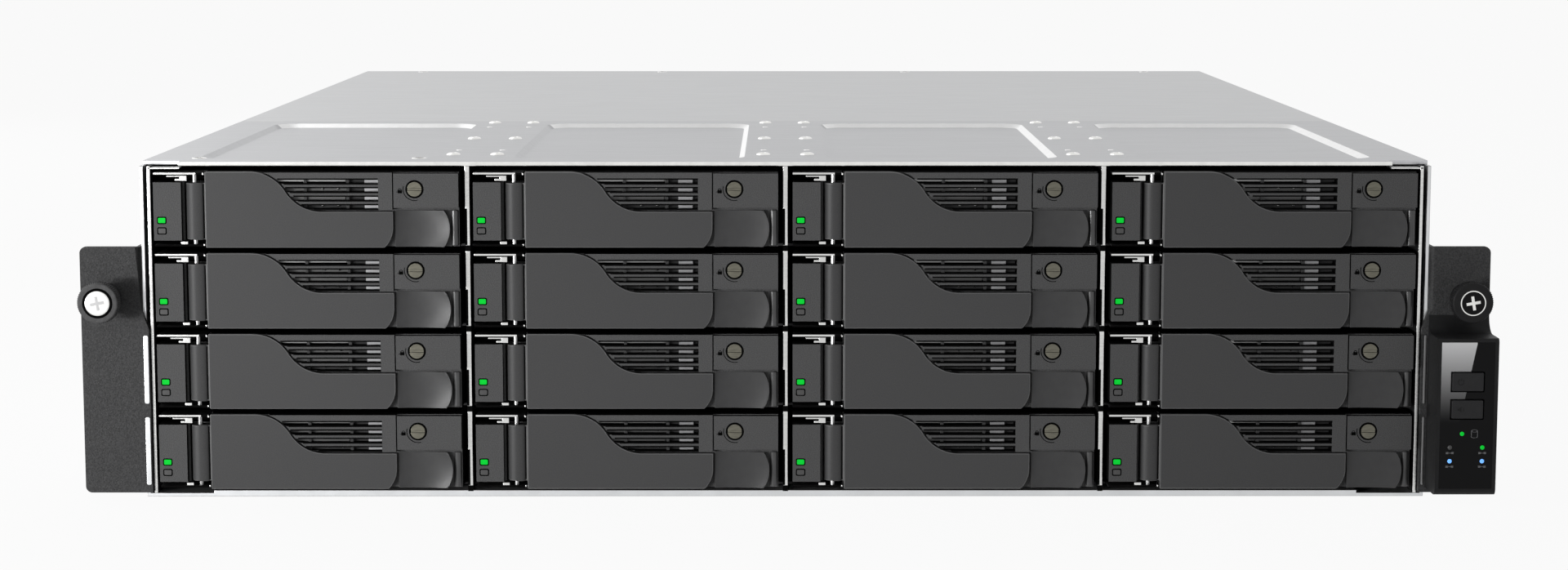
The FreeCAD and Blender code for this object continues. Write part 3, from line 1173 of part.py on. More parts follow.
def make_control_pod():
    """Control pod on the right ear: housing, glossy fascia, two push buttons and status lamps."""
    outline = [
        (f"{POD_FACE} + dims.pod_round_low", "dims.pod_low"),
        (EAR_FACE, "dims.pod_low"),
        (EAR_FACE, "dims.pod_top + dims.pod_flare", "dims.pod_flare", "right"),
        (f"{EAR_FACE} - dims.pod_flare", "dims.pod_top"),
        (f"{POD_FACE} + dims.pod_round_high", "dims.pod_top", "dims.pod_round_high", "left"),
        (POD_FACE, "dims.pod_top - dims.pod_round_high"),
        (POD_FACE, "dims.pod_low + dims.pod_round_low", "dims.pod_round_low", "left"),
    ]
    shell = plate("pod_shell", "YZ_Plane", POD_LEFT, [outline], f"{EAR_EDGE} - {POD_LEFT}")
    fascia_x = (f"{POD_LEFT} + dims.fascia_frame", f"{EAR_EDGE} - dims.fascia_frame")
    fascia_z = ("dims.pod_low + dims.pod_round_low", "dims.pod_top - dims.pod_round_high")
    fascia_back = f"{POD_FACE} + dims.fascia_thick"
    opened = f"{POD_FACE} - dims.overcut"
    seat = box("pod_fascia_seat", fascia_x, (opened, fascia_back), fascia_z)
    sheet = box("fascia_sheet", fascia_x, (POD_FACE, fascia_back), fascia_z)
    wells = []
    windows = []
    for number, label in enumerate(("power_button", "mute_button")):
        middle = f"({FIRST_BUTTON_Z} - {number} * dims.button_pitch)"
        half_x = "dims.button_width / 2"
        half_z = "dims.button_height / 2"
        room = "dims.button_room"
        front = f"({POD_FACE} - dims.button_proud)"
        back = f"({front} + dims.button_length)"
        node(box(
            f"{label}_cap",
            (f"{POD_MIDDLE} - {half_x}", f"{POD_MIDDLE} + {half_x}"),
            (front, back),
            (f"{middle} - {half_z}", f"{middle} + {half_z}"),
        ), label)
        room_x = (f"{POD_MIDDLE} - {half_x} - {room}", f"{POD_MIDDLE} + {half_x} + {room}")
        room_z = (f"{middle} - {half_z} - {room}", f"{middle} + {half_z} + {room}")
        well_floor = f"{back} + dims.button_travel + {room}"
        wells.append(box(f"{label}_well", room_x, (opened, well_floor), room_z))
        windows.append(box(f"{label}_window", room_x, (opened, f"{fascia_back} + dims.overcut"), room_z))
    node(cut("pod_housing", shell, [seat] + wells), "control_pod")
    node(cut("fascia_opened", sheet, windows), "control_fascia")

    first_z = "(dims.pod_top - dims.lamp_drop)"
    spots = [(f"{POD_MIDDLE} - dims.first_lamp_shift", first_z)]
    for row in (1, 2):
        row_z = f"{first_z} - {row} * dims.lamp_pitch"
        for sign in (-1, 1):
            spots.append((f"{POD_MIDDLE} + {sign} * dims.lamp_spread", row_z))
    lenses = []
    lens_y = (f"{POD_FACE} - dims.lamp_proud", POD_FACE)
    for number, spot in enumerate(spots, start=1):
        lenses.append(prism(f"lamp_lens_{number}", "y", LAMP_SIDES, "dims.lamp_radius", spot, *lens_y))
    node(group("lamp_set", lenses), "status_lamps")


def check_and_write():
    """Stop on anything that failed, then write one STEP file for each sub-part."""
    doc.recompute()
    for thing in doc.Objects:
        if "Invalid" in thing.State or "Error" in thing.State:
            raise RuntimeError(f"{thing.Name} failed: {thing.State}")
    for thing in nodes:
        if thing.Shape.isNull() or not thing.Shape.isValid():
            raise RuntimeError(f"{thing.Label} has no valid shape")
        if not thing.Shape.Solids:
            raise RuntimeError(f"{thing.Label} holds no solid")
    os.makedirs("parts", exist_ok=True)
    for thing in nodes:
        thing.Shape.exportStep(f"parts/{thing.Label}.step")


make_sheet()
make_trays()
make_chassis_base()
make_top_plate()
make_rear_cover()
make_drive_cage()
make_backplane()
make_fans()
make_mainboard()
make_supplies()
make_rear()
make_ears()
make_thumbscrews()
make_control_pod()
check_and_write()
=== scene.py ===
"""Looks of a rack storage server with sixteen hot-swap drive trays.

Sizes are in millimetres in the part's own frame, and become metres where a mesh is made.
A tray's trim is drawn about its own bay: X from the bay's middle, Z from the tray's underside.
"""

import json
import math

import bmesh
import bpy
from mathutils import Matrix, Vector

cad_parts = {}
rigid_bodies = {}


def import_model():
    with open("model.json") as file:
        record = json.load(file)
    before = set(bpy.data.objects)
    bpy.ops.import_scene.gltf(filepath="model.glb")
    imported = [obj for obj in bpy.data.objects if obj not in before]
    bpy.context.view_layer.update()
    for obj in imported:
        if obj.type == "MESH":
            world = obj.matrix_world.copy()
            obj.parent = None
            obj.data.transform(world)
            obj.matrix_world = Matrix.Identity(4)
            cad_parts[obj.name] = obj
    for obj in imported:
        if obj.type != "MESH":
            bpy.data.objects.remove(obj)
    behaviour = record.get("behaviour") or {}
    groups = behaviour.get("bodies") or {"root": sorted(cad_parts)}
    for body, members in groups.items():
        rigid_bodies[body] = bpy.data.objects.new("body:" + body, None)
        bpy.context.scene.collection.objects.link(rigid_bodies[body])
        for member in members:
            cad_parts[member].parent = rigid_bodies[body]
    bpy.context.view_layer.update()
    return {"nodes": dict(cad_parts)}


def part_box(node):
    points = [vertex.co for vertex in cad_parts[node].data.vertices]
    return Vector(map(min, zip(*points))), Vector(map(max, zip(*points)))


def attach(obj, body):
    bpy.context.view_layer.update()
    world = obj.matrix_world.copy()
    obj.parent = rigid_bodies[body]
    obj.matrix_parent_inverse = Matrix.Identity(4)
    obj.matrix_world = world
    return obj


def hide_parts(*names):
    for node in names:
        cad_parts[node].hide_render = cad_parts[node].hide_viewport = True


for leftover in list(bpy.data.objects):
    bpy.data.objects.remove(leftover)
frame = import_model()
NODES = frame["nodes"]

TRAYS = 16
METRES = 0.001
FACE = -5.0
ROW_PITCH = 27.83
TRAY_FLOOR = 3.5
TRAY_MARGIN = 0.3
BODY_HALF = 220.525
SEAMS = (-108.75, 0.0, 108.75)
BEND_RADIUS = 1.8
REAR = 580.0
HINGE = (-38.15, -1.95)
LOCK = (37.0, 20.05)
LOCK_RADIUS = 2.5
SLOT_START, SLOT_PITCH = 13.9, 2.9
CROSS_TURN = 10
SHARP = math.radians(38)
WELD_REACH = 0.002
SMOOTHEST = 0.02
GRAIN_DEPTH = 0.0002


# Materials

def add_node(tree, kind, **inputs):
    """A shader node with some of its sockets set."""
    made = tree.nodes.new(kind)
    for socket, number in inputs.items():
        made.inputs[socket.replace("_", " ")].default_value = number
    return made


def noise(tree, coordinates, scale, detail=3.0):
    """A noise texture on the given coordinates."""
    texture = add_node(tree, "ShaderNodeTexNoise", Scale=scale, Detail=detail)
    tree.links.new(coordinates, texture.inputs["Vector"])
    return texture.outputs["Fac"]


def remap(tree, value, ends):
    """A value from 0 to 1, carried to the range between two ends."""
    level = add_node(tree, "ShaderNodeMapRange", To_Min=ends[0], To_Max=ends[1])
    tree.links.new(value, level.inputs["Value"])
    return level.outputs["Result"]


def combine(tree, operation, first, second):
    """Two values put together by an operation; the second may be a plain number."""
    step = tree.nodes.new("ShaderNodeMath")
    step.operation = operation
    tree.links.new(first, step.inputs[0])
    if isinstance(second, bpy.types.NodeSocket):
        tree.links.new(second, step.inputs[1])
    else:
        step.inputs[1].default_value = second
    return step.outputs["Value"]


def finish(name, colour, roughness, metallic=0.0, mottle=(60, 0.12), grain=(1800, 0.0), spread=0.06,
           stretch=(1, 1, 1), shine=0.5, rim=1.0, coat=0.0, glow=0.0):
    """A procedural finish: mottled colour, uneven roughness and a fine grain in the surface."""
    material = bpy.data.materials.new(name)
    material.use_nodes = True
    tree = material.node_tree
    shader = tree.nodes["Principled BSDF"]
    shader.inputs["Metallic"].default_value = metallic
    shader.inputs["Specular IOR Level"].default_value = shine
    shader.inputs["Specular Tint"].default_value = (rim, rim, rim, 1)
    shader.inputs["Coat Weight"].default_value = coat
    shader.inputs["Coat Roughness"].default_value = 0.06

    place = tree.nodes.new("ShaderNodeTexCoord")
    mapping = add_node(tree, "ShaderNodeMapping", Scale=stretch)
    tree.links.new(place.outputs["Object"], mapping.inputs["Vector"])
    coordinates = mapping.outputs["Vector"]

    ramp = tree.nodes.new("ShaderNodeValToRGB")
    low, high = ramp.color_ramp.elements
    low.position, high.position = 0.3, 0.7
    low.color = [part * (1 - mottle[1]) for part in colour] + [1]
    high.color = [min(part * (1 + mottle[1]), 1) for part in colour] + [1]
    tree.links.new(noise(tree, coordinates, mottle[0]), ramp.inputs["Fac"])
    tree.links.new(ramp.outputs["Color"], shader.inputs["Base Color"])

    limits = (max(roughness - spread, SMOOTHEST), min(roughness + spread, 1))
    uneven = remap(tree, noise(tree, coordinates, 2.7 * mottle[0]), limits)
    tree.links.new(uneven, shader.inputs["Roughness"])

    if grain[1]:
        bump = add_node(tree, "ShaderNodeBump", Strength=grain[1], Distance=GRAIN_DEPTH)
        tree.links.new(noise(tree, coordinates, grain[0], 2.0), bump.inputs["Height"])
        tree.links.new(bump.outputs["Normal"], shader.inputs["Normal"])
    if glow:
        tree.links.new(ramp.outputs["Color"], shader.inputs["Emission Color"])
        shader.inputs["Emission Strength"].default_value = glow
    return material


SHEET = finish(
    "satin_sheet", (0.62, 0.625, 0.635), 0.36, 0.75, (40, 0.03), (2600, 0.04), 0.04, (1, 6, 1), rim=0.7
)
FRONT_SHEET = finish(
    "front_sheet", (0.56, 0.565, 0.58), 0.36, 0.75, (40, 0.03), (2600, 0.04), 0.04, (1, 6, 1), rim=0.7
)
# Near-white copy of the sheet steel: a painted highlight on the panel slopes that face the lamps.
PAINTED_SLOPE_HIGHLIGHT = finish("painted_highlight_slope", (0.95, 0.95, 0.95), 0.3, 1.0, (300, 0.03), (1800, 0.02), 0.05)
STEEL = finish(
    "bright_steel", (0.62, 0.62, 0.61), 0.28, 1.0, (120, 0.08), (1500, 0.03), 0.08, (1, 1, 8), rim=0.8
)
# Dark steel, also painted shade on the tray carriers, the drive cage and the plates behind the lowest air
# slots.
DARK_STEEL_AND_SHADE = finish(
    "dark_steel_and_painted_shade", (0.045, 0.045, 0.046), 0.45, 0.6, (150, 0.2), (1500, 0.05), 0.08, shine=0.2, rim=0.3
)
CAGE = finish("cage_steel", (0.3, 0.3, 0.3), 0.35, 1.0, (80, 0.08), (1500, 0.03), 0.08, (1, 4, 1), rim=0.5)
# A dimmer copy of the cage steel: painted shade on the plates behind the middle air slots.
SHADED_CAGE_STEEL = finish(
    "painted_shade_steel", (0.12, 0.12, 0.12), 0.4, 1.0, (80, 0.08), (1500, 0.03), 0.08, (1, 4, 1), rim=0.3
)
ALUMINIUM = finish(
    "extruded_aluminium", (0.6, 0.61, 0.62), 0.34, 1.0, (90, 0.05), (1500, 0.05), 0.06, (1, 8, 1), rim=0.7
)
CASTING = finish("drive_casting", (0.38, 0.38, 0.39), 0.46, 0.9, (220, 0.1), (900, 0.2), 0.08, rim=0.7)
ZINC = finish("zinc_plate", (0.75, 0.75, 0.73), 0.22, 1.0, (300, 0.06), (1800, 0.04), 0.06)
LOCK_METAL = finish(
    "lock_metal", (0.13, 0.125, 0.1), 0.4, 0.8, (500, 0.15), (2500, 0.08), 0.06, (1, 1, 5), rim=0.5
)
CONTACT = finish("gold_contact", (0.8, 0.56, 0.2), 0.3, 1.0, (400, 0.06), (2000, 0.03), 0.05)
GRAINED = finish(
    "grained_plastic", (0.08, 0.08, 0.081), 0.55, 0.0, (3200, 0.28), (2600, 0.6), 0.08, shine=0.2
)
SMOOTH = finish(
    "smooth_plastic", (0.065, 0.065, 0.066), 0.45, 0.0, (3200, 0.12), (3200, 0.2), 0.04, shine=0.2
)
# A lighter copy of the plastic: a painted highlight on the rounded edges of the levers and latches.
PAINTED_RIM_LIGHT = finish("painted_highlight_plastic", (0.12, 0.12, 0.121), 0.4, 0.0, (3200, 0.12), (3200, 0.1), 0.04, shine=0.3)
SATIN = finish("satin_plastic", (0.045, 0.045, 0.046), 0.3, 0.0, (300, 0.08), (2600, 0.05), 0.03, shine=0.3)
POLISHED = finish(
    "polished_plastic", (0.06, 0.06, 0.061), 0.2, 0.0, (300, 0.08), (2600, 0.02), 0.03, shine=0.5
)
BLACK = finish("black_plastic", (0.01, 0.01, 0.0105), 0.5, 0.0, (400, 0.15), (2200, 0.12), 0.06, shine=0.15)
# Near-black: painted shade on faces and in gaps that lie in shadow.
SHADED = finish(
    "painted_shade_plastic", (0.004, 0.004, 0.004), 0.9, 0.0, (400, 0.15), (2200, 0.12), 0.05, shine=0.03
)
POWDER = finish(
    "black_powder_coat", (0.05, 0.05, 0.051), 0.55, 0.0, (2200, 0.4), (1800, 0.8), 0.08, shine=0.15
)
# A lighter copy of the black knob plastic: painted light on the left thumbscrew.
LIT_KNOB_PAINT = finish("knob_plastic_painted_light", (0.07, 0.07, 0.071), 0.48, 0.0, (900, 0.2), (2200, 0.15), 0.06, shine=0.2)
GLOSS = finish("gloss_black", (0.003, 0.003, 0.0035), 0.08, 0.0, (50, 0.1), (400, 0.0), 0.02, shine=0.1)
RUBBER = finish(
    "button_plastic", (0.016, 0.016, 0.017), 0.45, 0.0, (500, 0.12), (2400, 0.15), 0.05, shine=0.2
)
INK = finish("grey_print", (0.16, 0.16, 0.165), 0.6, 0.0, (800, 0.1), (2000, 0.05), 0.05, shine=0.2)
# Black print, also painted shade in screw recesses and holes and on the front of the drive lid.
DARK_PRINT_AND_SHADE = finish(
    "dark_print_and_painted_shade", (0.002, 0.002, 0.002), 0.85, 0.0, (800, 0.1), (2000, 0.05), 0.05, shine=0.03
)
GREEN_LENS = finish("green_lens", (0.001, 0.32, 0.02), 0.3, 0.0, (700, 0.06), shine=0.1, glow=1.2)
GREY_LENS = finish("grey_lens", (0.08, 0.08, 0.08), 0.35, 0.0, (700, 0.08), shine=0.3)
BLUE_LENS = finish("blue_lens", (0.12, 0.32, 0.75), 0.3, 0.0, (700, 0.06), shine=0.1, glow=1.2)
BOARD = finish("solder_mask", (0.012, 0.075, 0.035), 0.4, 0.0, (90, 0.25), (900, 0.15), 0.06)


def add_painted_reflection(material, bright, heights, edges):
    """Paint a reflection into a finish: a lighter field that fades downwards, ended on the right by a
    slanted edge.
    """
    tree = material.node_tree
    shader = tree.nodes["Principled BSDF"]
    plain = shader.inputs["Base Color"].links[0].from_socket
    place = tree.nodes.new("ShaderNodeTexCoord")
    split = tree.nodes.new("ShaderNodeSeparateXYZ")
    tree.links.new(place.outputs["Object"], split.inputs["Vector"])
    rise = add_node(tree, "ShaderNodeMapRange", From_Min=heights[0], From_Max=heights[1])
    tree.links.new(split.outputs["Z"], rise.inputs["Value"])
    height = rise.outputs["Result"]
    inside = combine(tree, "LESS_THAN", split.outputs["X"], remap(tree, height, edges))
    share = combine(tree, "MULTIPLY", combine(tree, "POWER", height, PAINTED_REFLECTION_POWER), inside)
    mix = tree.nodes.new("ShaderNodeMix")
    mix.data_type = "RGBA"
    mix.inputs["B"].default_value = bright
    tree.links.new(share, mix.inputs["Factor"])
    tree.links.new(plain, mix.inputs["A"])
    tree.links.new(mix.outputs["Result"], shader.inputs["Base Color"])


# A painted reflection of a lamp on the gloss fascia of the control pod.
PAINTED_REFLECTION_COLOUR = (0.8, 0.8, 0.81, 1)
PAINTED_REFLECTION_HEIGHTS = (0.0283, 0.0556)
PAINTED_REFLECTION_EDGES = (0.2284, 0.2339)
PAINTED_REFLECTION_POWER = 1.6
GLOSS_FASCIA = GLOSS.copy()
GLOSS_FASCIA.name = "gloss_fascia_painted_reflection"
add_painted_reflection(GLOSS_FASCIA, PAINTED_REFLECTION_COLOUR, PAINTED_REFLECTION_HEIGHTS, PAINTED_REFLECTION_EDGES)


# Mesh building

def smooth_by_angle(limit):
    """A node group that shades a mesh smooth, apart from edges sharper than the limit."""
    group = bpy.data.node_groups.new("smooth_by_angle", "GeometryNodeTree")
    group.interface.new_socket("Geometry", in_out="INPUT", socket_type="NodeSocketGeometry")
    group.interface.new_socket("Geometry", in_out="OUTPUT", socket_type="NodeSocketGeometry")
    start = group.nodes.new("NodeGroupInput")
    end = group.nodes.new("NodeGroupOutput")
    faces = group.nodes.new("GeometryNodeSetShadeSmooth")
    edges = group.nodes.new("GeometryNodeSetShadeSmooth")
    edges.domain = "EDGE"
    angle = group.nodes.new("GeometryNodeInputMeshEdgeAngle")
    gentle = group.nodes.new("FunctionNodeCompare")
    gentle.operation = "LESS_THAN"
    gentle.inputs["B"].default_value = limit
    group.links.new(start.outputs[0], faces.inputs["Geometry"])
    group.links.new(faces.outputs["Geometry"], edges.inputs["Geometry"])
    group.links.new(angle.outputs["Unsigned Angle"], gentle.inputs["A"])
    group.links.new(gentle.outputs["Result"], edges.inputs["Shade Smooth"])
    group.links.new(edges.outputs["Geometry"], end.inputs[0])
    return group


SMOOTHING = smooth_by_angle(SHARP)


def round_edges(thing, width, segments=2, painted_edge_finish=-1):
    """Small rounded edges that catch the light, in another of the mesh's finishes if one is given as painted
    highlight or painted shade.
    """
    if width:
        bevel = thing.modifiers.new("edges", "BEVEL")
        bevel.width = width * METRES
        bevel.segments = segments
        bevel.limit_method = "ANGLE"
        bevel.angle_limit = SHARP
        bevel.use_clamp_overlap = True
        bevel.material = painted_edge_finish
    shading = thing.modifiers.new("shading", "NODES")
    shading.node_group = SMOOTHING
    flat = thing.modifiers.new("flat", "WEIGHTED_NORMAL")
    flat.keep_sharp = True


def piece(name, draft, finishes, body, place=(0, 0, 0), edge=0.0, painted_edge_finish=-1):
    """An object from a drafted mesh, riding on a body."""
    if isinstance(draft, bpy.types.Mesh):
        mesh = draft
    else:
        mesh = bpy.data.meshes.new(name)
        bmesh.ops.recalc_face_normals(draft, faces=draft.faces)
        draft.transform(Matrix.Scale(METRES, 4))
        draft.to_mesh(mesh)
        draft.free()
        for material in finishes:
            mesh.materials.append(material)
    thing = bpy.data.objects.new(name, mesh)
    bpy.context.scene.collection.objects.link(thing)
    thing.location = Vector(place) * METRES
    round_edges(thing, edge, painted_edge_finish=painted_edge_finish)
    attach(thing, body)
    return thing


def paint(faces, finish_index):
    """Give faces one of the piece's finishes."""
    for face in faces:
        face.material_index = finish_index


def block(draft, x, y, z, finish_index=0):
    """A block between the low and high ends given for each axis."""
    corners = bmesh.ops.create_cube(draft, size=1)["verts"]
    for corner in corners:
        ends = [span[1] if part > 0 else span[0] for part, span in zip(corner.co, (x, y, z))]
        corner.co = Vector(ends)
    paint({face for corner in corners for face in corner.link_faces}, finish_index)


def extruded(draft, outline, ends, finish_index=0, along="y"):
    """An outline across an axis, Y or Z, solid between two places along it."""
    if along == "y":
        front, back = [[draft.verts.new((a, end, b)) for a, b in outline] for end in ends]
    else:
        front, back = [[draft.verts.new((a, b, end)) for a, b in outline] for end in ends]
    faces = [draft.faces.new(front), draft.faces.new(back[::-1])]
    for index in range(len(outline)):
        following = (index + 1) % len(outline)
        faces.append(draft.faces.new((front[following], front[index], back[index], back[following])))
    paint(faces, finish_index)


def turned(draft, profile, centre, sides=32, finish_index=0, along="y", teeth=0.0):
    """A profile of radius and place along an axis, turned about that axis; teeth cut every other side."""
    rings = []
    for radius, height in profile:
        ring = []
        for side in range(sides):
            angle = 2 * math.pi * side / sides
            reach = radius - (teeth if side % 2 else 0)
            across = (reach * math.cos(angle), reach * math.sin(angle))
            if along == "y":
                spot = (centre[0] + across[0], height, centre[1] + across[1])
            elif along == "z":
                spot = (centre[0] + across[0], centre[1] + across[1], height)
            else:
                spot = (height, centre[0] + across[0], centre[1] + across[1])
            ring.append(draft.verts.new(spot))
        rings.append(ring)
    faces = [draft.faces.new(rings[0]), draft.faces.new(rings[-1][::-1])]
    for first, second in zip(rings, rings[1:]):
        for side in range(sides):
            following = (side + 1) % sides
            faces.append(draft.faces.new((first[side], first[following], second[following], second[side])))
    paint(faces, finish_index)


def rounded(middle, half_x, half_z, radius, steps=5):
    """Outline of a rectangle with round corners about a middle in X and Z."""
    places = []
    for quarter, (sign_x, sign_z) in enumerate(((1, 1), (-1, 1), (-1, -1), (1, -1))):
        for step in range(steps + 1):
            angle = math.pi / 2 * (quarter + step / steps)
            places.append((
                middle[0] + sign_x * (half_x - radius) + radius * math.cos(angle),
                middle[1] + sign_z * (half_z - radius) + radius * math.sin(angle),
            ))
    return places


def arc_band(centre, inner, outer, start, end, steps=14, squash=1.0):
    """Outline of a band along an arc, with angles in degrees from +X towards +Z; squash flattens it in Z."""
    angles = [math.radians(start + (end - start) * step / steps) for step in range(steps + 1)]
    band = []
    for radius, turn in ((outer, angles), (inner, angles[::-1])):
        band += [(centre[0] + radius * math.cos(a), centre[1] + squash * radius * math.sin(a)) for a in turn]
    return band


# The fixed model's own solids

def separate_solids(mesh):
    """The polygons of each separate solid in a mesh, found through corners at the same place."""
    parent = {}

    def root(key):
        while parent[key] != key:
            parent[key] = parent[parent[key]]
            key = parent[key]
        return key

    keys = [tuple(round(part, 6) for part in vertex.co) for vertex in mesh.vertices]
    for key in keys:
        parent.setdefault(key, key)
    for polygon in mesh.polygons:
        first = root(keys[polygon.vertices[0]])
        for corner in polygon.vertices[1:]:
            parent[root(keys[corner])] = first
    solids = {}
    for polygon in mesh.polygons:
        solids.setdefault(root(keys[polygon.vertices[0]]), []).append(polygon)
    return list(solids.values())


def dress(thing, finishes, edge=0.0, choose=None, bend=None, painted_edge_finish=-1):
    """Give a mesh of the fixed model its finishes and rounded edges.

    choose picks a finish for each face, and bend picks the corners along a folded edge.
    """
    mesh = thing.data
    mesh.materials.clear()
    for material in finishes:
        mesh.materials.append(material)
    if choose:
        for polygons in separate_solids(mesh):
            low, high = extent(mesh, polygons)
            for polygon in polygons:
                polygon.material_index = choose(low, high, polygon.center / METRES, polygon.normal)
    if "custom_normal" in mesh.attributes:
        mesh.attributes.remove(mesh.attributes["custom_normal"])
    weld = thing.modifiers.new("weld", "WELD")
    weld.merge_threshold = WELD_REACH * METRES
    flat = thing.modifiers.new("whole_faces", "DECIMATE")
    flat.decimate_type = "DISSOLVE"
    flat.angle_limit = math.radians(1)
    flat.delimit = {"MATERIAL"}
    if bend:
        corners = thing.vertex_groups.new(name="bend")
        corners.add([vertex.index for vertex in mesh.vertices if bend(vertex.co / METRES)], 1.0, "REPLACE")
        fold = thing.modifiers.new("bend", "BEVEL")
        fold.limit_method = "VGROUP"
        fold.vertex_group = corners.name
        fold.width = BEND_RADIUS * METRES
        fold.segments = 5
    round_edges(thing, edge, painted_edge_finish=painted_edge_finish)


def extent(mesh, polygons):
    """Lowest and highest corner of some polygons."""
    places = [mesh.vertices[corner].co / METRES for polygon in polygons for corner in polygon.vertices]
    low = [min(place[axis] for place in places) for axis in range(3)]
    high = [max(place[axis] for place in places) for axis in range(3)]
    return low, high


def without(name, unwanted):
    """A copy of a node's object that leaves out its unwanted solids, and stands for the node."""
    node = NODES[name]
    mesh = node.data.copy()
    dropped = set()
    for polygons in separate_solids(mesh):
        if unwanted(*extent(mesh, polygons)):
            dropped.update(polygon.index for polygon in polygons)
    draft = bmesh.new()
    draft.from_mesh(mesh)
    draft.faces.ensure_lookup_table()
    bmesh.ops.delete(draft, geom=[draft.faces[index] for index in dropped], context="FACES")
    draft.to_mesh(mesh)
    draft.free()
    thing = bpy.data.objects.new(f"{name}_dressed", mesh)
    bpy.context.scene.collection.objects.link(thing)
    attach(thing, name)
    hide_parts(name)
    return thing


def is_catch(low, high):
    """True for the plain latch and lock disc of a tray, which have detailed pieces of their own."""
    return high[1] < -2


BEZEL, DRIVE, FLANGE, CARRIER, SHADE, PIN = range(6)
TRAY_FINISHES = [GRAINED, CASTING, STEEL, DARK_STEEL_AND_SHADE, SHADED, CAGE]


def tray_finish(low, high, centre, normal):
    """Bezel with painted shade on its sides, drive with painted shade on its front, or steel carrier with a
    hinge pin, painted dark as shade except for the bright front of its upper flange.
    """
    if low[1] > 10:
        return SHADE if normal.y < -0.9 else DRIVE
    if high[1] < 100:
        return SHADE if abs(normal.y) < 0.5 else BEZEL
    from_hinge = Vector((centre.x - (low[0] + high[0]) / 2 - HINGE[0], centre.y - HINGE[1]))
    if from_hinge.length < 1.2:
        return PIN
    if normal.y > -0.9:
        return CARRIER
    return FLANGE if centre.y < -3 and centre.z > low[2] + 2 else SHADE


def lever_finish(low, high, centre, normal):
    """Plate and barrel, with painted shade on the front of the set-back web between them."""
    return int(normal.y < -0.9 and FACE + 0.5 < centre.y < FACE + 1.5)


def front_edges(low, high, centre, normal):
    """Bright sheared edges at the front of folded sheets, partly a painted highlight that keeps the front
    lips bright.
    """
    return int(normal.y < -0.9 and centre.y < 1)


def panel_edges(low, high, centre, normal):
    """Sheared front edge, and a painted highlight on the rear and right slopes of the pressed panels, which
    face the lamps.
    """
    if 0.5 < normal.z < 0.95 and min(normal.x, normal.y) < -0.25:
        return 2
    return front_edges(low, high, centre, normal)


def supply_finish(low, high, centre, normal):
    """Bare case with a black grip."""
    return int(centre.y > REAR + 0.1)


def board_finish(low, high, centre, normal):
    """Board in solder mask, with black pieces on it."""
    return int(high[0] - low[0] < 100)


def ear_bend(place):
    """True along the fold of an ear, above the part that laps the chassis."""
    return abs(abs(place.x) - BODY_HALF) < 0.05 and place.y < -1.9


for number in range(1, TRAYS + 1):
    name = f"tray_{number}"
    thing = NODES[name] if number == 1 else without(name, is_catch)
    dress(thing, TRAY_FINISHES, 0.18, tray_finish)
    # The lever's rounded edges take the lighter plastic as a painted highlight.
    dress(NODES[f"{name}_lever"], [SMOOTH, SHADED, PAINTED_RIM_LIGHT], 0.35, lever_finish, painted_edge_finish=2)
# The chassis walls' rounded edges take the cage steel as painted shade along their bright fronts.
dress(NODES["chassis_base"], [SHEET, ALUMINIUM, CAGE], 0.25, front_edges, painted_edge_finish=2)
dress(NODES["front_top_plate"], [FRONT_SHEET, ZINC, PAINTED_SLOPE_HIGHLIGHT], 0.25, panel_edges)
for name in ("rear_cover", "rear_panel", "supply_bay"):
    dress(NODES[name], [SHEET], 0.25)
dress(NODES["drive_cage"], [DARK_STEEL_AND_SHADE, STEEL], 0.2, front_edges)
for name in ("backplane", "mainboard"):
    dress(NODES[name], [BOARD, BLACK], 0.1, board_finish)
dress(NODES["heat_sink"], [ALUMINIUM], 0.15)
dress(NODES["memory_modules"], [BOARD], 0.15)
dress(NODES["fan_frames"], [BLACK], 0.4)
for number in (1, 2, 3):
    dress(NODES[f"fan_rotor_{number}"], [BLACK], 0.2)
for number in (1, 2):
    dress(NODES[f"power_supply_{number}"], [ALUMINIUM, BLACK], 0.4, supply_finish)
dress(NODES["network_sockets"], [STEEL], 0.2)
dress(NODES["left_ear"], [POWDER], 0.5, bend=ear_bend)
dress(NODES["right_ear"], [POWDER], 0.5, bend=ear_bend)
dress(NODES["control_pod"], [BLACK], 0.8)
dress(NODES["control_fascia"], [GLOSS_FASCIA], 0.15)
dress(NODES["status_lamps"], [GREY_LENS], 0.1)
dress(NODES["power_button"], [RUBBER], 0.5)
dress(NODES["mute_button"], [RUBBER], 0.5)
dress(NODES["left_thumbscrew"], [LIT_KNOB_PAINT], 0.3)
dress(NODES["right_thumbscrew"], [BLACK], 0.3)
dress(NODES["tray_1_latch"], [SATIN], 0.2)
dress(NODES["tray_1_lock"], [LOCK_METAL], 0.1)


# Trim of the trays

def tray_place(number):
    """Where a tray's own coordinates start."""
    low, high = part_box(f"tray_{number}")
    return ((low.x + high.x) / 2 / METRES, 0, low.z / METRES - TRAY_MARGIN)


def draft_lamps():
    """Two small windows in the lamp plate, each with a black surround."""
    draft = bmesh.new()
    for lens_finish, height in ((1, 9.4), (2, 5.8)):
        middle = (-49.15, height)
        extruded(draft, rounded(middle, 1.65, 1.28, 0.6), (FACE - 0.05, FACE + 0.3), 0)
        extruded(draft, rounded(middle, 1.25, 0.88, 0.35), (FACE - 0.12, FACE), lens_finish)
    return draft


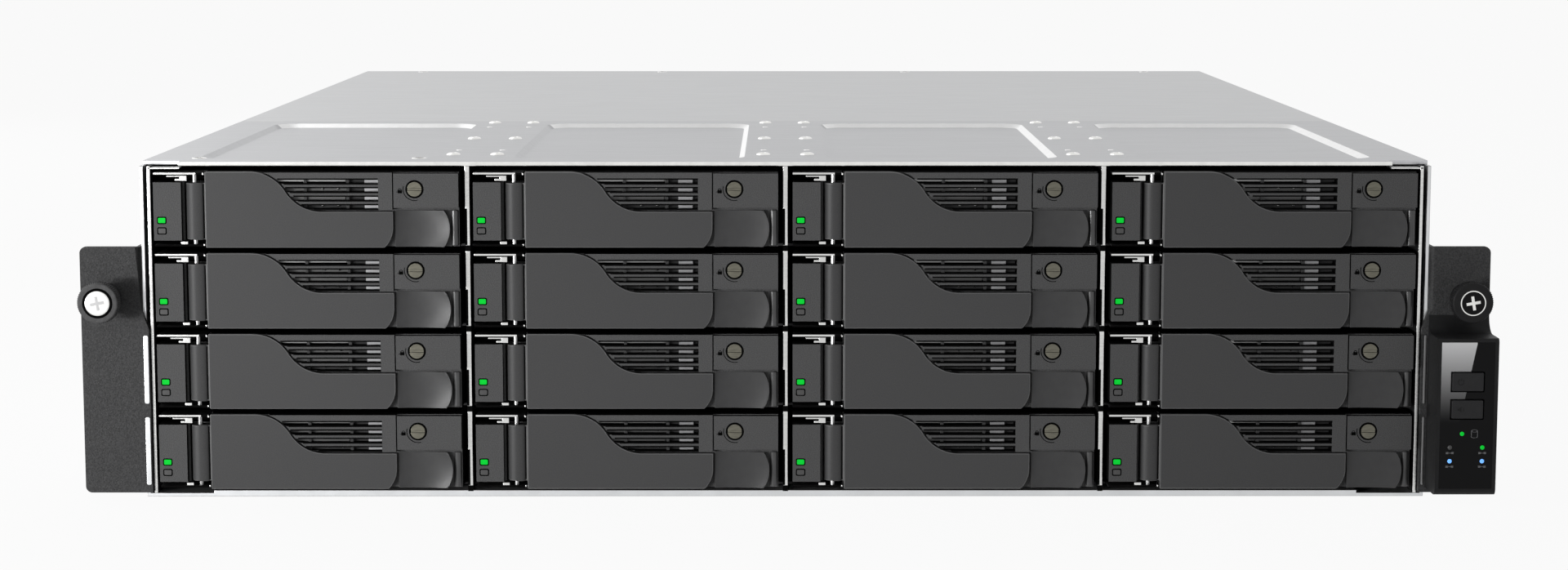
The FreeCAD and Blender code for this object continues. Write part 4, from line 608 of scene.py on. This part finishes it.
def draft_grille():
    """Uprights behind the air slots, and the steel plates that show through them, with painted shade that
    makes them darker lower down and beside the drive's end plate.
    """
    draft = bmesh.new()
    for middle in (-0.5, 13.95):
        block(draft, (middle - 0.55, middle + 0.55), (-2.4, -1.3), (13.0, 25.2), 0)
    block(draft, (14.5, 24.3), (-0.6, 0.0), (12.4, 25.2), 4)
    for height, painted_plate_shade in ((13.85, 4), (16.75, 3), (19.65, 3), (23.6, 1)):
        block(draft, (-14.0, 14.5), (-0.4, 0.0), (height - 1.45, height + 1.45), painted_plate_shade)
    for height, painted_plate_shade in ((17.3, 3), (23.6, 1)):
        block(draft, (-14.0, 13.0), (-1.2, -0.4), (height - 1.3, height + 1.0), painted_plate_shade)
    for height in (14.2, 20.0):
        for spot in (5.2, 10.5):
            turned(draft, [(0.25, -1.2), (0.5, -1.0), (0.55, -0.4)], (spot, height), 12, 2)
    return draft


def draft_slot_shade():
    """Painted shade above and below each air slot, from the lever's edge to the end of the slot."""
    draft = bmesh.new()
    skin = (FACE - 0.03, FACE + 0.1)
    slot_half, slot_end = 0.63, 24.65
    starts = ((-1.6, 2.7), (-4.2, -2.6), (-6.9, -5.3), (-9.6, -7.4))
    for row, (start_above, start_below) in enumerate(starts):
        top = SLOT_START + SLOT_PITCH * row + slot_half
        bottom = top - 2 * slot_half
        block(draft, (start_above, slot_end), skin, (top, top + 0.5))
        block(draft, (start_below, slot_end), skin, (bottom - 0.38, bottom))
    return draft


def draft_tab():
    """Bright end plate of the drive, seen through the air slots."""
    draft = bmesh.new()
    block(draft, (17.0, 21.9), (-1.9, -0.4), (13.2, 25.0))
    return draft


def draft_hinge():
    """Folded steel tabs between the hinge flanges and the lamp plate, and painted shade on the ends of the
    flanges.
    """
    draft = bmesh.new()
    tabs = (
        ((-47.4, -42.4), (-3.9, -2.4), (24.15, 24.6)),
        ((-44.6, -42.4), (-3.9, -2.4), (22.8, 23.5)),
        ((-42.9, -40.6), (-4.0, -2.2), (22.8, 24.6)),
        ((-42.9, -40.6), (-3.9, -2.4), (1.1, 2.0)),
        ((-35.2, -34.7), (-4.2, -3.0), (24.8, 25.4)),
        ((-35.2, -34.7), (-4.2, -3.0), (0.6, 1.2)),
    )
    for x, y, z in tabs:
        block(draft, x, y, z, 0)
    for low, high in ((0.35, 1.05), (24.95, 25.65)):
        block(draft, (-37.6, -35.3), (-4.1, -3.5), (low, high), 1)
    return draft


def draft_sleeve():
    """Rounded shoulder that joins the lever's hinge barrel to its web."""
    draft = bmesh.new()
    centre, reach = (-38.2, -3.9), (3.2, 1.12)
    turns = [math.pi / 2 * step / 8 for step in range(9)]
    shoulder = [(centre[0] + reach[0] * math.cos(a), centre[1] - reach[1] * math.sin(a)) for a in turns]
    extruded(draft, shoulder + [(centre[0], -3.4), (centre[0] + reach[0], -3.4)], (2.7, 22.2), 0, "z")
    return draft


def draft_marks():
    """Printed arc and padlock sign beside the lock."""
    draft = bmesh.new()
    ink = (FACE - 0.04, FACE + 0.1)
    extruded(draft, arc_band(LOCK, 3.75, 4.0, 165, 285), ink)
    extruded(draft, rounded((32.0, 19.2), 0.75, 0.55, 0.15, 2), ink)
    extruded(draft, arc_band((32.0, 19.7), 0.4, 0.62, 0, 180, 8), ink)
    block(draft, (30.8, 31.2), ink, (19.0, 19.2))
    return draft


def draft_lock():
    """Coin lock: a dark ring, and a slotted disc with a rounded rim."""
    draft = bmesh.new()
    turned(draft, [(LOCK_RADIUS + 0.65, FACE - 0.05), (LOCK_RADIUS + 0.65, FACE + 0.4)], LOCK, 40, 1)
    half_slot = 0.42
    start = math.asin(half_slot / LOCK_RADIUS)
    turns = [start + (math.pi - 2 * start) * step / 20 for step in range(21)]
    for sign in (1, -1):
        half = []
        for turn in turns:
            rise = sign * LOCK_RADIUS * math.sin(turn)
            half.append((LOCK[0] + LOCK_RADIUS * math.cos(turn), LOCK[1] + rise))
        extruded(draft, half, (FACE - 0.45, FACE + 0.2), 0)
    slot_half = LOCK_RADIUS - 0.1
    block(draft, (LOCK[0] - slot_half, LOCK[0] + slot_half), (FACE - 0.1, FACE + 0.2),
          (LOCK[1] - half_slot, LOCK[1] + half_slot), 0)
    return draft


LATCH_ENDS = (30.15, 48.85)
LATCH_LOW, LATCH_HIGH = 0.25, 12.65
LATCH_CHORD = 46.9
LATCH_HOLLOW = 1.5
LATCH_LEAN = 0.04
LATCH_DEEPEST = 0.25
LATCH_EDGE = 0.6
LATCH_BACK = 2.1
LATCH_LIP = 0.8
LATCH_THIN = 0.6


def latch_depth(along):
    """Depth of the thumb hollow at a share of the way along the latch."""
    if along < LATCH_DEEPEST:
        return LATCH_HOLLOW * (1 - (1 - LATCH_EDGE) * (1 - along / LATCH_DEEPEST) ** 2)
    return LATCH_HOLLOW * (1 - ((along - LATCH_DEEPEST) / (1 - LATCH_DEEPEST)) ** 2)


def draft_latch():
    """Thumb latch: a plate hollowed for the thumb, with a round thin end that slides over the rib."""
    draft = bmesh.new()
    middle_z = (LATCH_LOW + LATCH_HIGH) / 2
    half_height = (LATCH_HIGH - LATCH_LOW) / 2
    bulge = LATCH_ENDS[1] - LATCH_CHORD
    radius = (bulge ** 2 + half_height ** 2) / (2 * bulge)
    columns, rows = 24, 10
    sheets = []
    for side in ("front", "back"):
        sheet = []
        for row in range(rows + 1):
            share = 2 * row / rows - 1
            z = middle_z + share * half_height
            right = LATCH_ENDS[1] - radius + math.sqrt(radius ** 2 - (share * half_height) ** 2)
            line = []
            for column in range(columns + 1):
                x = LATCH_ENDS[0] + (right - LATCH_ENDS[0]) * column / columns
                along = (x - LATCH_ENDS[0]) / (right - LATCH_ENDS[0])
                depth = latch_depth(along) + LATCH_LEAN * (z - LATCH_LOW)
                if side == "back":
                    depth = LATCH_BACK if along < LATCH_LIP else depth + LATCH_THIN
                line.append(draft.verts.new((x, FACE + depth, z)))
            sheet.append(line)
        sheets.append(sheet)
    for sheet in sheets:
        for lower, upper in zip(sheet, sheet[1:]):
            for column in range(columns):
                draft.faces.new((lower[column], lower[column + 1], upper[column + 1], upper[column]))
    front, back = sheets
    rim = [(0, column) for column in range(columns)] + [(row, columns) for row in range(rows)]
    rim += [(rows, columns - column) for column in range(columns)] + [(rows - row, 0) for row in range(rows)]
    for index, (row, column) in enumerate(rim):
        next_row, next_column = rim[(index + 1) % len(rim)]
        draft.faces.new((
            front[row][column], back[row][column], back[next_row][next_column], front[next_row][next_column]
        ))
    return draft


def draft_rib():
    """Glossy half-round column at the right of the latch."""
    draft = bmesh.new()
    turned(draft, [(1.3, 0.5), (1.5, 0.7), (1.5, 12.5), (1.3, 12.7)], (50.35, -2.0), 28, 0, "z")
    return draft


def draft_drive():
    """Screws and label plate on the drive's lid, which shows when a tray is pulled out."""
    draft = bmesh.new()
    lid = 25.7
    for x in (-44.0, 44.0):
        for y in (22.0, 87.0, 153.0):
            profile = [(1.1, lid + 0.25), (1.9, lid + 0.2), (2.1, lid), (2.1, lid - 0.4)]
            turned(draft, profile, (x, y), 20, 0, "z")
    turned(draft, [(9.0, lid + 0.18), (9.6, lid + 0.1), (9.8, lid - 0.3)], (-12.0, 62.0), 48, 0, "z")
    block(draft, (-36.0, 36.0), (92.0, 146.0), (lid - 0.2, lid + 0.12), 1)
    # Dark strip across the front of the lid: painted shade where the lid shows between the trays.
    block(draft, (-50.0, 50.0), (15.95, 36.0), (lid - 0.2, lid + 0.06), 2)
    return draft


TRAY_TRIM = {
    "lamps": (draft_lamps, [DARK_PRINT_AND_SHADE, GREEN_LENS, GREY_LENS], 0.1, "tray"),
    "grille": (draft_grille, [SMOOTH, CAGE, STEEL, SHADED_CAGE_STEEL, DARK_STEEL_AND_SHADE], 0.1, "tray"),
    "louvres": (draft_slot_shade, [SHADED], 0.0, "tray"),
    "tab": (draft_tab, [CASTING], 0.1, "tray"),
    "hinge": (draft_hinge, [STEEL, SHADED], 0.1, "tray"),
    "sleeve": (draft_sleeve, [SMOOTH], 0.05, "lever"),
    "marks": (draft_marks, [DARK_PRINT_AND_SHADE], 0.0, "tray"),
    "rib": (draft_rib, [POLISHED], 0.0, "tray"),
    "drive": (draft_drive, [STEEL, INK, DARK_PRINT_AND_SHADE], 0.06, "tray"),
    "latch": (draft_latch, [SATIN, PAINTED_RIM_LIGHT], 0.25, "latch"),
    "lock": (draft_lock, [LOCK_METAL, DARK_PRINT_AND_SHADE], 0.12, "lock"),
}
TAB_SHIFT = 0.016
trim_meshes = {}
for number in range(1, TRAYS + 1):
    for kind, (draw, finishes, edge, slot) in TRAY_TRIM.items():
        draft = trim_meshes.get(kind) or draw()
        body = f"tray_{number}"
        if kind == "sleeve":
            body = f"tray_{number}_lever"
        elif number == 1 and kind in ("latch", "lock"):
            body = f"tray_1_{kind}"
        place = Vector(tray_place(number))
        if kind == "tab":
            place.x -= TAB_SHIFT * place.x
        # The latch's rounded edges take the lighter plastic as a painted highlight.
        painted_edge_finish = 1 if kind == "latch" else -1
        trim = piece(f"tray_{number}_{kind}_trim", draft, finishes, body, place, edge, painted_edge_finish)
        trim_meshes[kind] = trim.data
        if body == f"tray_1_{kind}":
            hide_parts(body)


# Trim of the chassis

def flush_screw(draft, spot, top):
    """Countersunk screw in a sheet: a bright rim about a dark disc, painted shade for its recess."""
    rim = [(1.6, top + 0.05), (2.0, top + 0.22), (2.5, top + 0.1), (2.7, top - 0.2)]
    turned(draft, rim, spot, 28, 0, "z")
    turned(draft, [(1.6, top + 0.07), (1.6, top - 0.2)], spot, 28, 1, "z")


def draft_rivets():
    """Rivets of the cage along the seams between the pressed panels, spot welds, and two flush screws."""
    draft = bmesh.new()
    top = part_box("front_top_plate")[1].z / METRES
    rivet = [(0.75, top + 0.2), (1.0, top + 0.7), (1.6, top + 0.72), (2.3, top + 0.4), (2.6, top - 0.3)]
    weld = [(0.5, top + 0.12), (1.0, top + 0.1), (1.3, top - 0.2)]
    for seam in SEAMS:
        for offset in (-7.7, 7.7):
            for y in (30.0, 104.0, 188.0):
                turned(draft, rivet, (seam + offset, y), 24, 0, "z")
                # A dark cap in each rivet's hole: painted shade.
                turned(draft, [(0.75, top + 0.3), (0.75, top)], (seam + offset, y), 24, 1, "z")
            for y in (50.0, 165.0):
                turned(draft, weld, (seam + offset, y), 20, 0, "z")
    for x in (-202.8, -126.7):
        flush_screw(draft, (x, 15.0), top)
    return draft


piece("cover_rivets", draft_rivets(), [ZINC, DARK_PRINT_AND_SHADE], "root")


def draft_cage_edges():
    """Painted shade on the front edges of the dividers, between the rows and beside the lower part of each
    tray, and a folded strip in each upper corner.
    """
    draft = bmesh.new()
    painted_shade_y = (-0.15, 0.5)
    for seam in SEAMS:
        for row in range(4):
            floor = TRAY_FLOOR + row * ROW_PITCH
            block(draft, (seam - 0.9, seam - 0.1), painted_shade_y, (floor + 0.4, floor + 12.9), 0)
            block(draft, (seam - 0.9, seam + 0.9), painted_shade_y, (floor - 1.7, floor + 0.3), 0)
    for sign in (-1, 1):
        ends = sorted((sign * 217.9, sign * 206.9))
        block(draft, ends, (0.0, 8.0), (113.5, 114.0), 1)
    return draft


piece("cage_edges", draft_cage_edges(), [SHADED, STEEL], "root", edge=0.05)


def draft_wall_edges():
    """Bright edges of the chassis walls beside the lower part of the ears."""
    draft = bmesh.new()
    front = (-2.35, -1.9)
    for middle in (44.6, 16.25):
        extruded(draft, rounded((-219.35, middle), 0.85, 11.85, 0.6), front, 0)
        extruded(draft, rounded((219.6, middle), 0.4, 11.85, 0.35), front, 1)
    return draft


piece("wall_edges", draft_wall_edges(), [ALUMINIUM, CAGE], "root", edge=0.15)


def cross(centre, arm, half_width):
    """Outline of a cross about a centre."""
    corner = [(half_width, half_width), (half_width, arm), (-half_width, arm)]
    places = []
    for quarter in range(4):
        spin = Matrix.Rotation(math.radians(90 * quarter + CROSS_TURN), 2)
        places += [tuple(Vector(centre) + spin @ Vector(place)) for place in corner]
    return places


def draft_thumbscrew(ring, head):
    """Knurled knob with a ringed cross-head screw in its middle, and the threaded end behind the ear."""
    draft = bmesh.new()
    axis = (0, 0)
    turned(draft, [(6.3, -16.0), (6.8, -15.7), (6.8, -11.2), (6.4, -10.9)], axis, 96, 0)
    turned(draft, [(6.9, -15.0), (7.2, -14.7), (7.2, -12.2), (6.9, -11.9)], axis, 120, 0, "y", 0.3)
    turned(draft, [(5.2, -11.5), (5.2, -3.0), (4.9, -2.3)], axis, 48, 0)
    turned(draft, [(ring - 0.3, -16.15), (ring - 0.1, -16.15), (ring, -15.6)], axis, 48, 2)
    turned(draft, [(head - 0.6, -16.4), (head - 0.15, -16.25), (head, -15.7)], axis, 48, 1)
    extruded(draft, cross(axis, 2.4, 0.5), (-16.43, -16.0), 3)
    turned(draft, [(2.2, -2.6), (2.2, 0.4)], axis, 32, 1)
    threads = [(2.5 if step % 2 else 2.2, 0.5 + 11.5 * step / 13) for step in range(14)]
    turned(draft, threads, axis, 32, 1)
    return draft


# The two thumbscrews are alike: the left one is painted lighter, as lit, and the right one darker, as in
# shade; the right screw's black head with a bright cross and ring is a painted reflection.
SCREWS = {
    "left": (5.2, 4.35, [LIT_KNOB_PAINT, ZINC, DARK_PRINT_AND_SHADE, CAGE]),
    "right": (4.4, 4.05, [BLACK, GLOSS, ZINC, ZINC]),
}
for side, (ring, head, finishes) in SCREWS.items():
    low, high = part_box(f"{side}_thumbscrew")
    place = ((low.x + high.x) / 2 / METRES, 0, (low.z + high.z) / 2 / METRES)
    screw = piece(f"{side}_thumbscrew_detail", draft_thumbscrew(ring, head), finishes,
                  f"{side}_thumbscrew", place, 0.06)
    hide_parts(f"{side}_thumbscrew")


def draft_cover_screws():
    """Countersunk screws along the rear edge of the cover."""
    draft = bmesh.new()
    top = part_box("rear_cover")[1].z / METRES
    for x in (-190.0, -64.0, 64.0, 190.0):
        flush_screw(draft, (x, REAR - 8.0), top)
    return draft


def draft_rear_screws():
    """Cross-head screws round the rear panel."""
    draft = bmesh.new()
    spots = [(x, z) for x in (-213.0, 213.0) for z in (12.0, 60.0, 108.0)]
    spots += [(x, 108.0) for x in (-130.0, -45.0, 45.0, 130.0)]
    for spot in spots:
        head = [(1.0, REAR + 1.3), (2.2, REAR + 1.1), (2.9, REAR + 0.4), (2.9, REAR - 0.4)]
        turned(draft, head, spot, 24, 0)
        # The cross is painted shade in the screw's recess.
        extruded(draft, cross(spot, 1.6, 0.3), (REAR + 1.0, REAR + 1.35), 1)
    return draft


def draft_side_fixings():
    """Screws that hold the ears, and eyelets round the rail holes, on both sides of the chassis."""
    draft = bmesh.new()
    wall = BODY_HALF
    plate = wall + 1.5
    for sign in (-1, 1):
        for spot in ((14.0, 20.0), (14.0, 68.0), (34.0, 20.0), (34.0, 68.0)):
            head = [(1.2, sign * (plate + 0.7)), (2.6, sign * (plate + 0.5)), (3.1, sign * (plate - 0.4))]
            turned(draft, head, spot, 24, 0, "x")
            # Dark hexagon: painted shade in the socket of the screw head.
            turned(draft, [(1.2, sign * (plate + 0.72)), (1.2, sign * plate)], spot, 6, 1, "x")
        for y in (150.0, 450.0):
            collar = [(2.6, sign * (wall + 0.5)), (3.4, sign * (wall + 0.45)), (3.8, sign * wall)]
            turned(draft, collar, (y, 58.0), 32, 2, "x")
            # Dark disc: painted shade in the rail hole.
            turned(draft, [(2.1, sign * (wall + 0.52)), (2.1, sign * wall)], (y, 58.0), 32, 1, "x")
    return draft


def draft_supply():
    """Mains inlet with three blades, painted shade at the bottoms of the exhaust slots, and a lamp."""
    draft = bmesh.new()
    inlet_x, inlet_z = (5.0, 32.4), (10.0, 30.0)
    wall = 2.0
    inner_x = (inlet_x[0] + wall, inlet_x[1] - wall)
    inner_z = (inlet_z[0] + wall, inlet_z[1] - wall)
    for x, z in (((inlet_x[0], inner_x[0]), inlet_z), ((inner_x[1], inlet_x[1]), inlet_z),
                 (inner_x, (inlet_z[0], inner_z[0])), (inner_x, (inner_z[1], inlet_z[1]))):
        block(draft, x, (-15.5, -0.5), z, 0)
    block(draft, inner_x, (-15.9, -14.0), inner_z, 0)
    for x, z in ((11.7, 17.5), (25.7, 17.5), (18.7, 22.5)):
        block(draft, (x - 1.0, x + 1.0), (-14.0, -3.0), (z - 2.0, z + 2.0), 1)
    for slot in range(5):
        left = 41.5 + 6.0 * slot
        block(draft, (left, left + 3.0), (-4.0, -3.4), inlet_z, 2)
    turned(draft, [(0.4, 0.5), (1.0, 0.4), (1.2, 0.1), (1.2, -0.4)], (69.5, 35.0), 20, 3)
    return draft


def draft_socket_trim():
    """Painted shade at the back of the network sockets, gold contacts, and lamps of the sockets."""
    draft = bmesh.new()
    low, high = [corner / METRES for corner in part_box("network_sockets")]
    lamp_y, lamp_z = (REAR - 0.1, REAR + 0.2), (high.z - 1.3, high.z - 0.3)
    for number in range(4):
        left = low.x + 24.0 * number
        block(draft, (left + 1.6, left + 14.4), (REAR - 14.0, REAR - 13.5), (low.z + 1.6, high.z - 1.6), 0)
        for contact in range(8):
            x = left + 3.2 + 1.25 * contact
            block(draft, (x, x + 0.6), (REAR - 13.0, REAR - 1.5), (high.z - 2.8, high.z - 2.4), 1)
        for offset, lens_finish in ((3.0, 2), (13.0, 3)):
            spot = left + offset
            block(draft, (spot - 1.0, spot + 1.0), lamp_y, lamp_z, lens_finish)
    return draft


piece("cover_screws", draft_cover_screws(), [ZINC, DARK_PRINT_AND_SHADE], "rear_cover")
piece("rear_screws", draft_rear_screws(), [ZINC, DARK_PRINT_AND_SHADE], "root")
piece("side_fixings", draft_side_fixings(), [DARK_STEEL_AND_SHADE, DARK_PRINT_AND_SHADE, ZINC], "root")
for number in (1, 2):
    name = f"power_supply_{number}"
    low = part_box(name)[0] / METRES
    place = (low.x, REAR, low.z)
    piece(f"{name}_trim", draft_supply(), [BLACK, STEEL, SHADED, GREEN_LENS], name, place, 0.15)
piece("socket_trim", draft_socket_trim(), [SHADED, CONTACT, GREEN_LENS, GREY_LENS], "root")


# Control pod

fascia_low, fascia_high = [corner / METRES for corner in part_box("control_fascia")]
POD_MIDDLE = (fascia_low.x + fascia_high.x) / 2
POD_FACE = fascia_low.y


def draft_pod_lamps():
    """Domed lenses of the status lamps."""
    draft = bmesh.new()
    dome = [(0.2, -0.3), (0.5, -0.24), (0.72, -0.1), (0.78, 0.2)]
    profile = [(radius, POD_FACE + depth) for radius, depth in dome]
    lamps = [(-1.5, 24.9, 0), (-5.5, 20.2, 1), (5.5, 20.2, 0), (-5.5, 15.5, 2), (5.5, 15.5, 2)]
    for offset, height, lens_finish in lamps:
        turned(draft, profile, (POD_MIDDLE + offset, height), 24, lens_finish)
    return draft


lens_finishes = [GREEN_LENS, GREY_LENS, BLUE_LENS]
lenses = piece("status_lamp_lenses", draft_pod_lamps(), lens_finishes, "root")
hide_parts("status_lamps")


def draft_pod_signs():
    """Printed signs beside the lamps: a drive and network links."""
    draft = bmesh.new()
    ink = (POD_FACE - 0.03, POD_FACE + 0.1)
    drive = (POD_MIDDLE + 2.7, 24.9)
    for height in (1.0, -1.0):
        centre = (drive[0], drive[1] + height)
        extruded(draft, arc_band(centre, 0.85, 1.15, 180, 360, squash=0.4), ink)
    extruded(draft, arc_band((drive[0], drive[1] + 1.0), 0.85, 1.15, 0, 180, squash=0.4), ink)
    for side in (drive[0] - 1.05, drive[0] + 1.05):
        block(draft, (side - 0.1, side + 0.1), ink, (drive[1] - 1.0, drive[1] + 1.0))
    for offset in (-5.5, 5.5):
        for height in (18.3, 13.6):
            middle = POD_MIDDLE + offset
            block(draft, (middle - 1.3, middle - 0.5), ink, (height - 0.35, height + 0.35))
            block(draft, (middle + 0.5, middle + 1.3), ink, (height - 0.35, height + 0.35))
            block(draft, (middle - 0.5, middle + 0.5), ink, (height - 0.1, height + 0.1))
    return draft


piece("control_signs", draft_pod_signs(), [INK], "root")


def draft_button_sign(name):
    """Moulded sign on a push button: a ring with a bar for power, a small horn for mute."""
    draft = bmesh.new()
    low, high = [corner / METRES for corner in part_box(name)]
    middle = (low.x + 3.0, (low.z + high.z) / 2)
    raised = (low.y - 0.08, low.y + 0.2)
    if name == "power_button":
        extruded(draft, arc_band(middle, 0.85, 1.1, 125, 415, 24), raised)
        block(draft, (middle[0] - 0.12, middle[0] + 0.12), raised, (middle[1] + 0.3, middle[1] + 1.3))
    else:
        block(draft, (middle[0] - 1.0, middle[0] - 0.4), raised, (middle[1] - 0.4, middle[1] + 0.4))
        horn = [(middle[0] - 0.4, middle[1] - 0.4), (middle[0] + 0.3, middle[1] - 1.0),
                (middle[0] + 0.3, middle[1] + 1.0), (middle[0] - 0.4, middle[1] + 0.4)]
        extruded(draft, horn, raised)
        extruded(draft, arc_band((middle[0] + 0.3, middle[1]), 0.75, 0.95, -50, 50, 8), raised)
    return draft


for name in ("power_button", "mute_button"):
    piece(f"{name}_sign", draft_button_sign(name), [BLACK], name)


# Floor, light and camera

def seen_rays(tree):
    """1 where the camera sees a surface, straight or by reflection, and 0 where it only lights others."""
    rays = tree.nodes.new("ShaderNodeLightPath")
    seen = rays.outputs["Is Camera Ray"]
    for kind in ("Is Glossy Ray", "Is Transmission Ray"):
        seen = combine(tree, "MAXIMUM", seen, rays.outputs[kind])
    return seen


FLOOR_SIZE = 14
FLOOR_SHARE = 0.94
WORLD_LIGHT, WORLD_SEEN = 0.15, 1.0


def make_floor():
    """Pale floor that keeps a soft shadow and meets the white background."""
    bpy.ops.mesh.primitive_plane_add(size=FLOOR_SIZE, location=(0, 0, 0))
    floor = bpy.context.object
    floor.name = "studio_floor"
    material = bpy.data.materials.new("pale_floor")
    material.use_nodes = True
    tree = material.node_tree
    tree.nodes.clear()
    out = tree.nodes.new("ShaderNodeOutputMaterial")
    paper = add_node(tree, "ShaderNodeBsdfDiffuse", Color=(0.86, 0.86, 0.86, 1))
    bright = add_node(tree, "ShaderNodeEmission", Color=(1, 1, 1, 1), Strength=1.0)
    mix = tree.nodes.new("ShaderNodeMixShader")
    tree.links.new(combine(tree, "MULTIPLY", seen_rays(tree), FLOOR_SHARE), mix.inputs["Fac"])
    tree.links.new(paper.outputs["BSDF"], mix.inputs[1])
    tree.links.new(bright.outputs["Emission"], mix.inputs[2])
    tree.links.new(mix.outputs["Shader"], out.inputs["Surface"])
    floor.data.materials.append(material)


def make_world():
    """White for the camera and in reflections, and a low even light on everything else."""
    world = bpy.data.worlds.new("studio")
    bpy.context.scene.world = world
    world.use_nodes = True
    tree = world.node_tree
    background = tree.nodes["Background"]
    background.inputs["Color"].default_value = (1, 1, 1, 1)
    level = remap(tree, seen_rays(tree), (WORLD_LIGHT, WORLD_SEEN))
    tree.links.new(level, background.inputs["Strength"])


def softbox(name, place, aim, width, height, power, spread=180):
    """A studio light pointed at a place, with a grid in front where the spread in degrees is small."""
    light = bpy.data.lights.new(name, "AREA")
    light.energy = power
    light.shape = "RECTANGLE"
    light.size = width
    light.size_y = height
    light.spread = math.radians(spread)
    lamp = bpy.data.objects.new(name, light)
    lamp.location = place
    lamp.rotation_euler = (Vector(aim) - Vector(place)).to_track_quat("-Z", "Y").to_euler()
    bpy.context.scene.collection.objects.link(lamp)


def make_camera():
    """A view from the front, a little above the top plate."""
    camera = bpy.data.cameras.new("view")
    camera.sensor_width = 36
    camera.lens = 69.99
    camera.clip_start = 0.05
    viewer = bpy.data.objects.new("view", camera)
    viewer.location = (-0.0018, -1.0376, 0.2021)
    viewer.rotation_euler = (math.radians(82.94), 0, math.radians(-0.073))
    bpy.context.scene.collection.objects.link(viewer)
    bpy.context.scene.camera = viewer


make_floor()
make_world()
softbox("key", (-0.66, -0.58, 0.38), (0, 0, 0.06), 1.1, 0.66, 1.0)
softbox("strip", (-0.8, -0.78, 0.062), (-0.05, 0, 0.06), 0.6, 0.1, 2.1, 90)
softbox("rear", (-1.0, 1.2, 0.8), (-0.1, 0.3, 0.1), 1.3, 1.3, 5.5)
softbox("over", (-0.6, 0.1, 0.65), (-0.2, 0.1, 0.1), 0.7, 0.7, 1.2)
make_camera()
bpy.context.scene.view_settings.view_transform = "Standard"
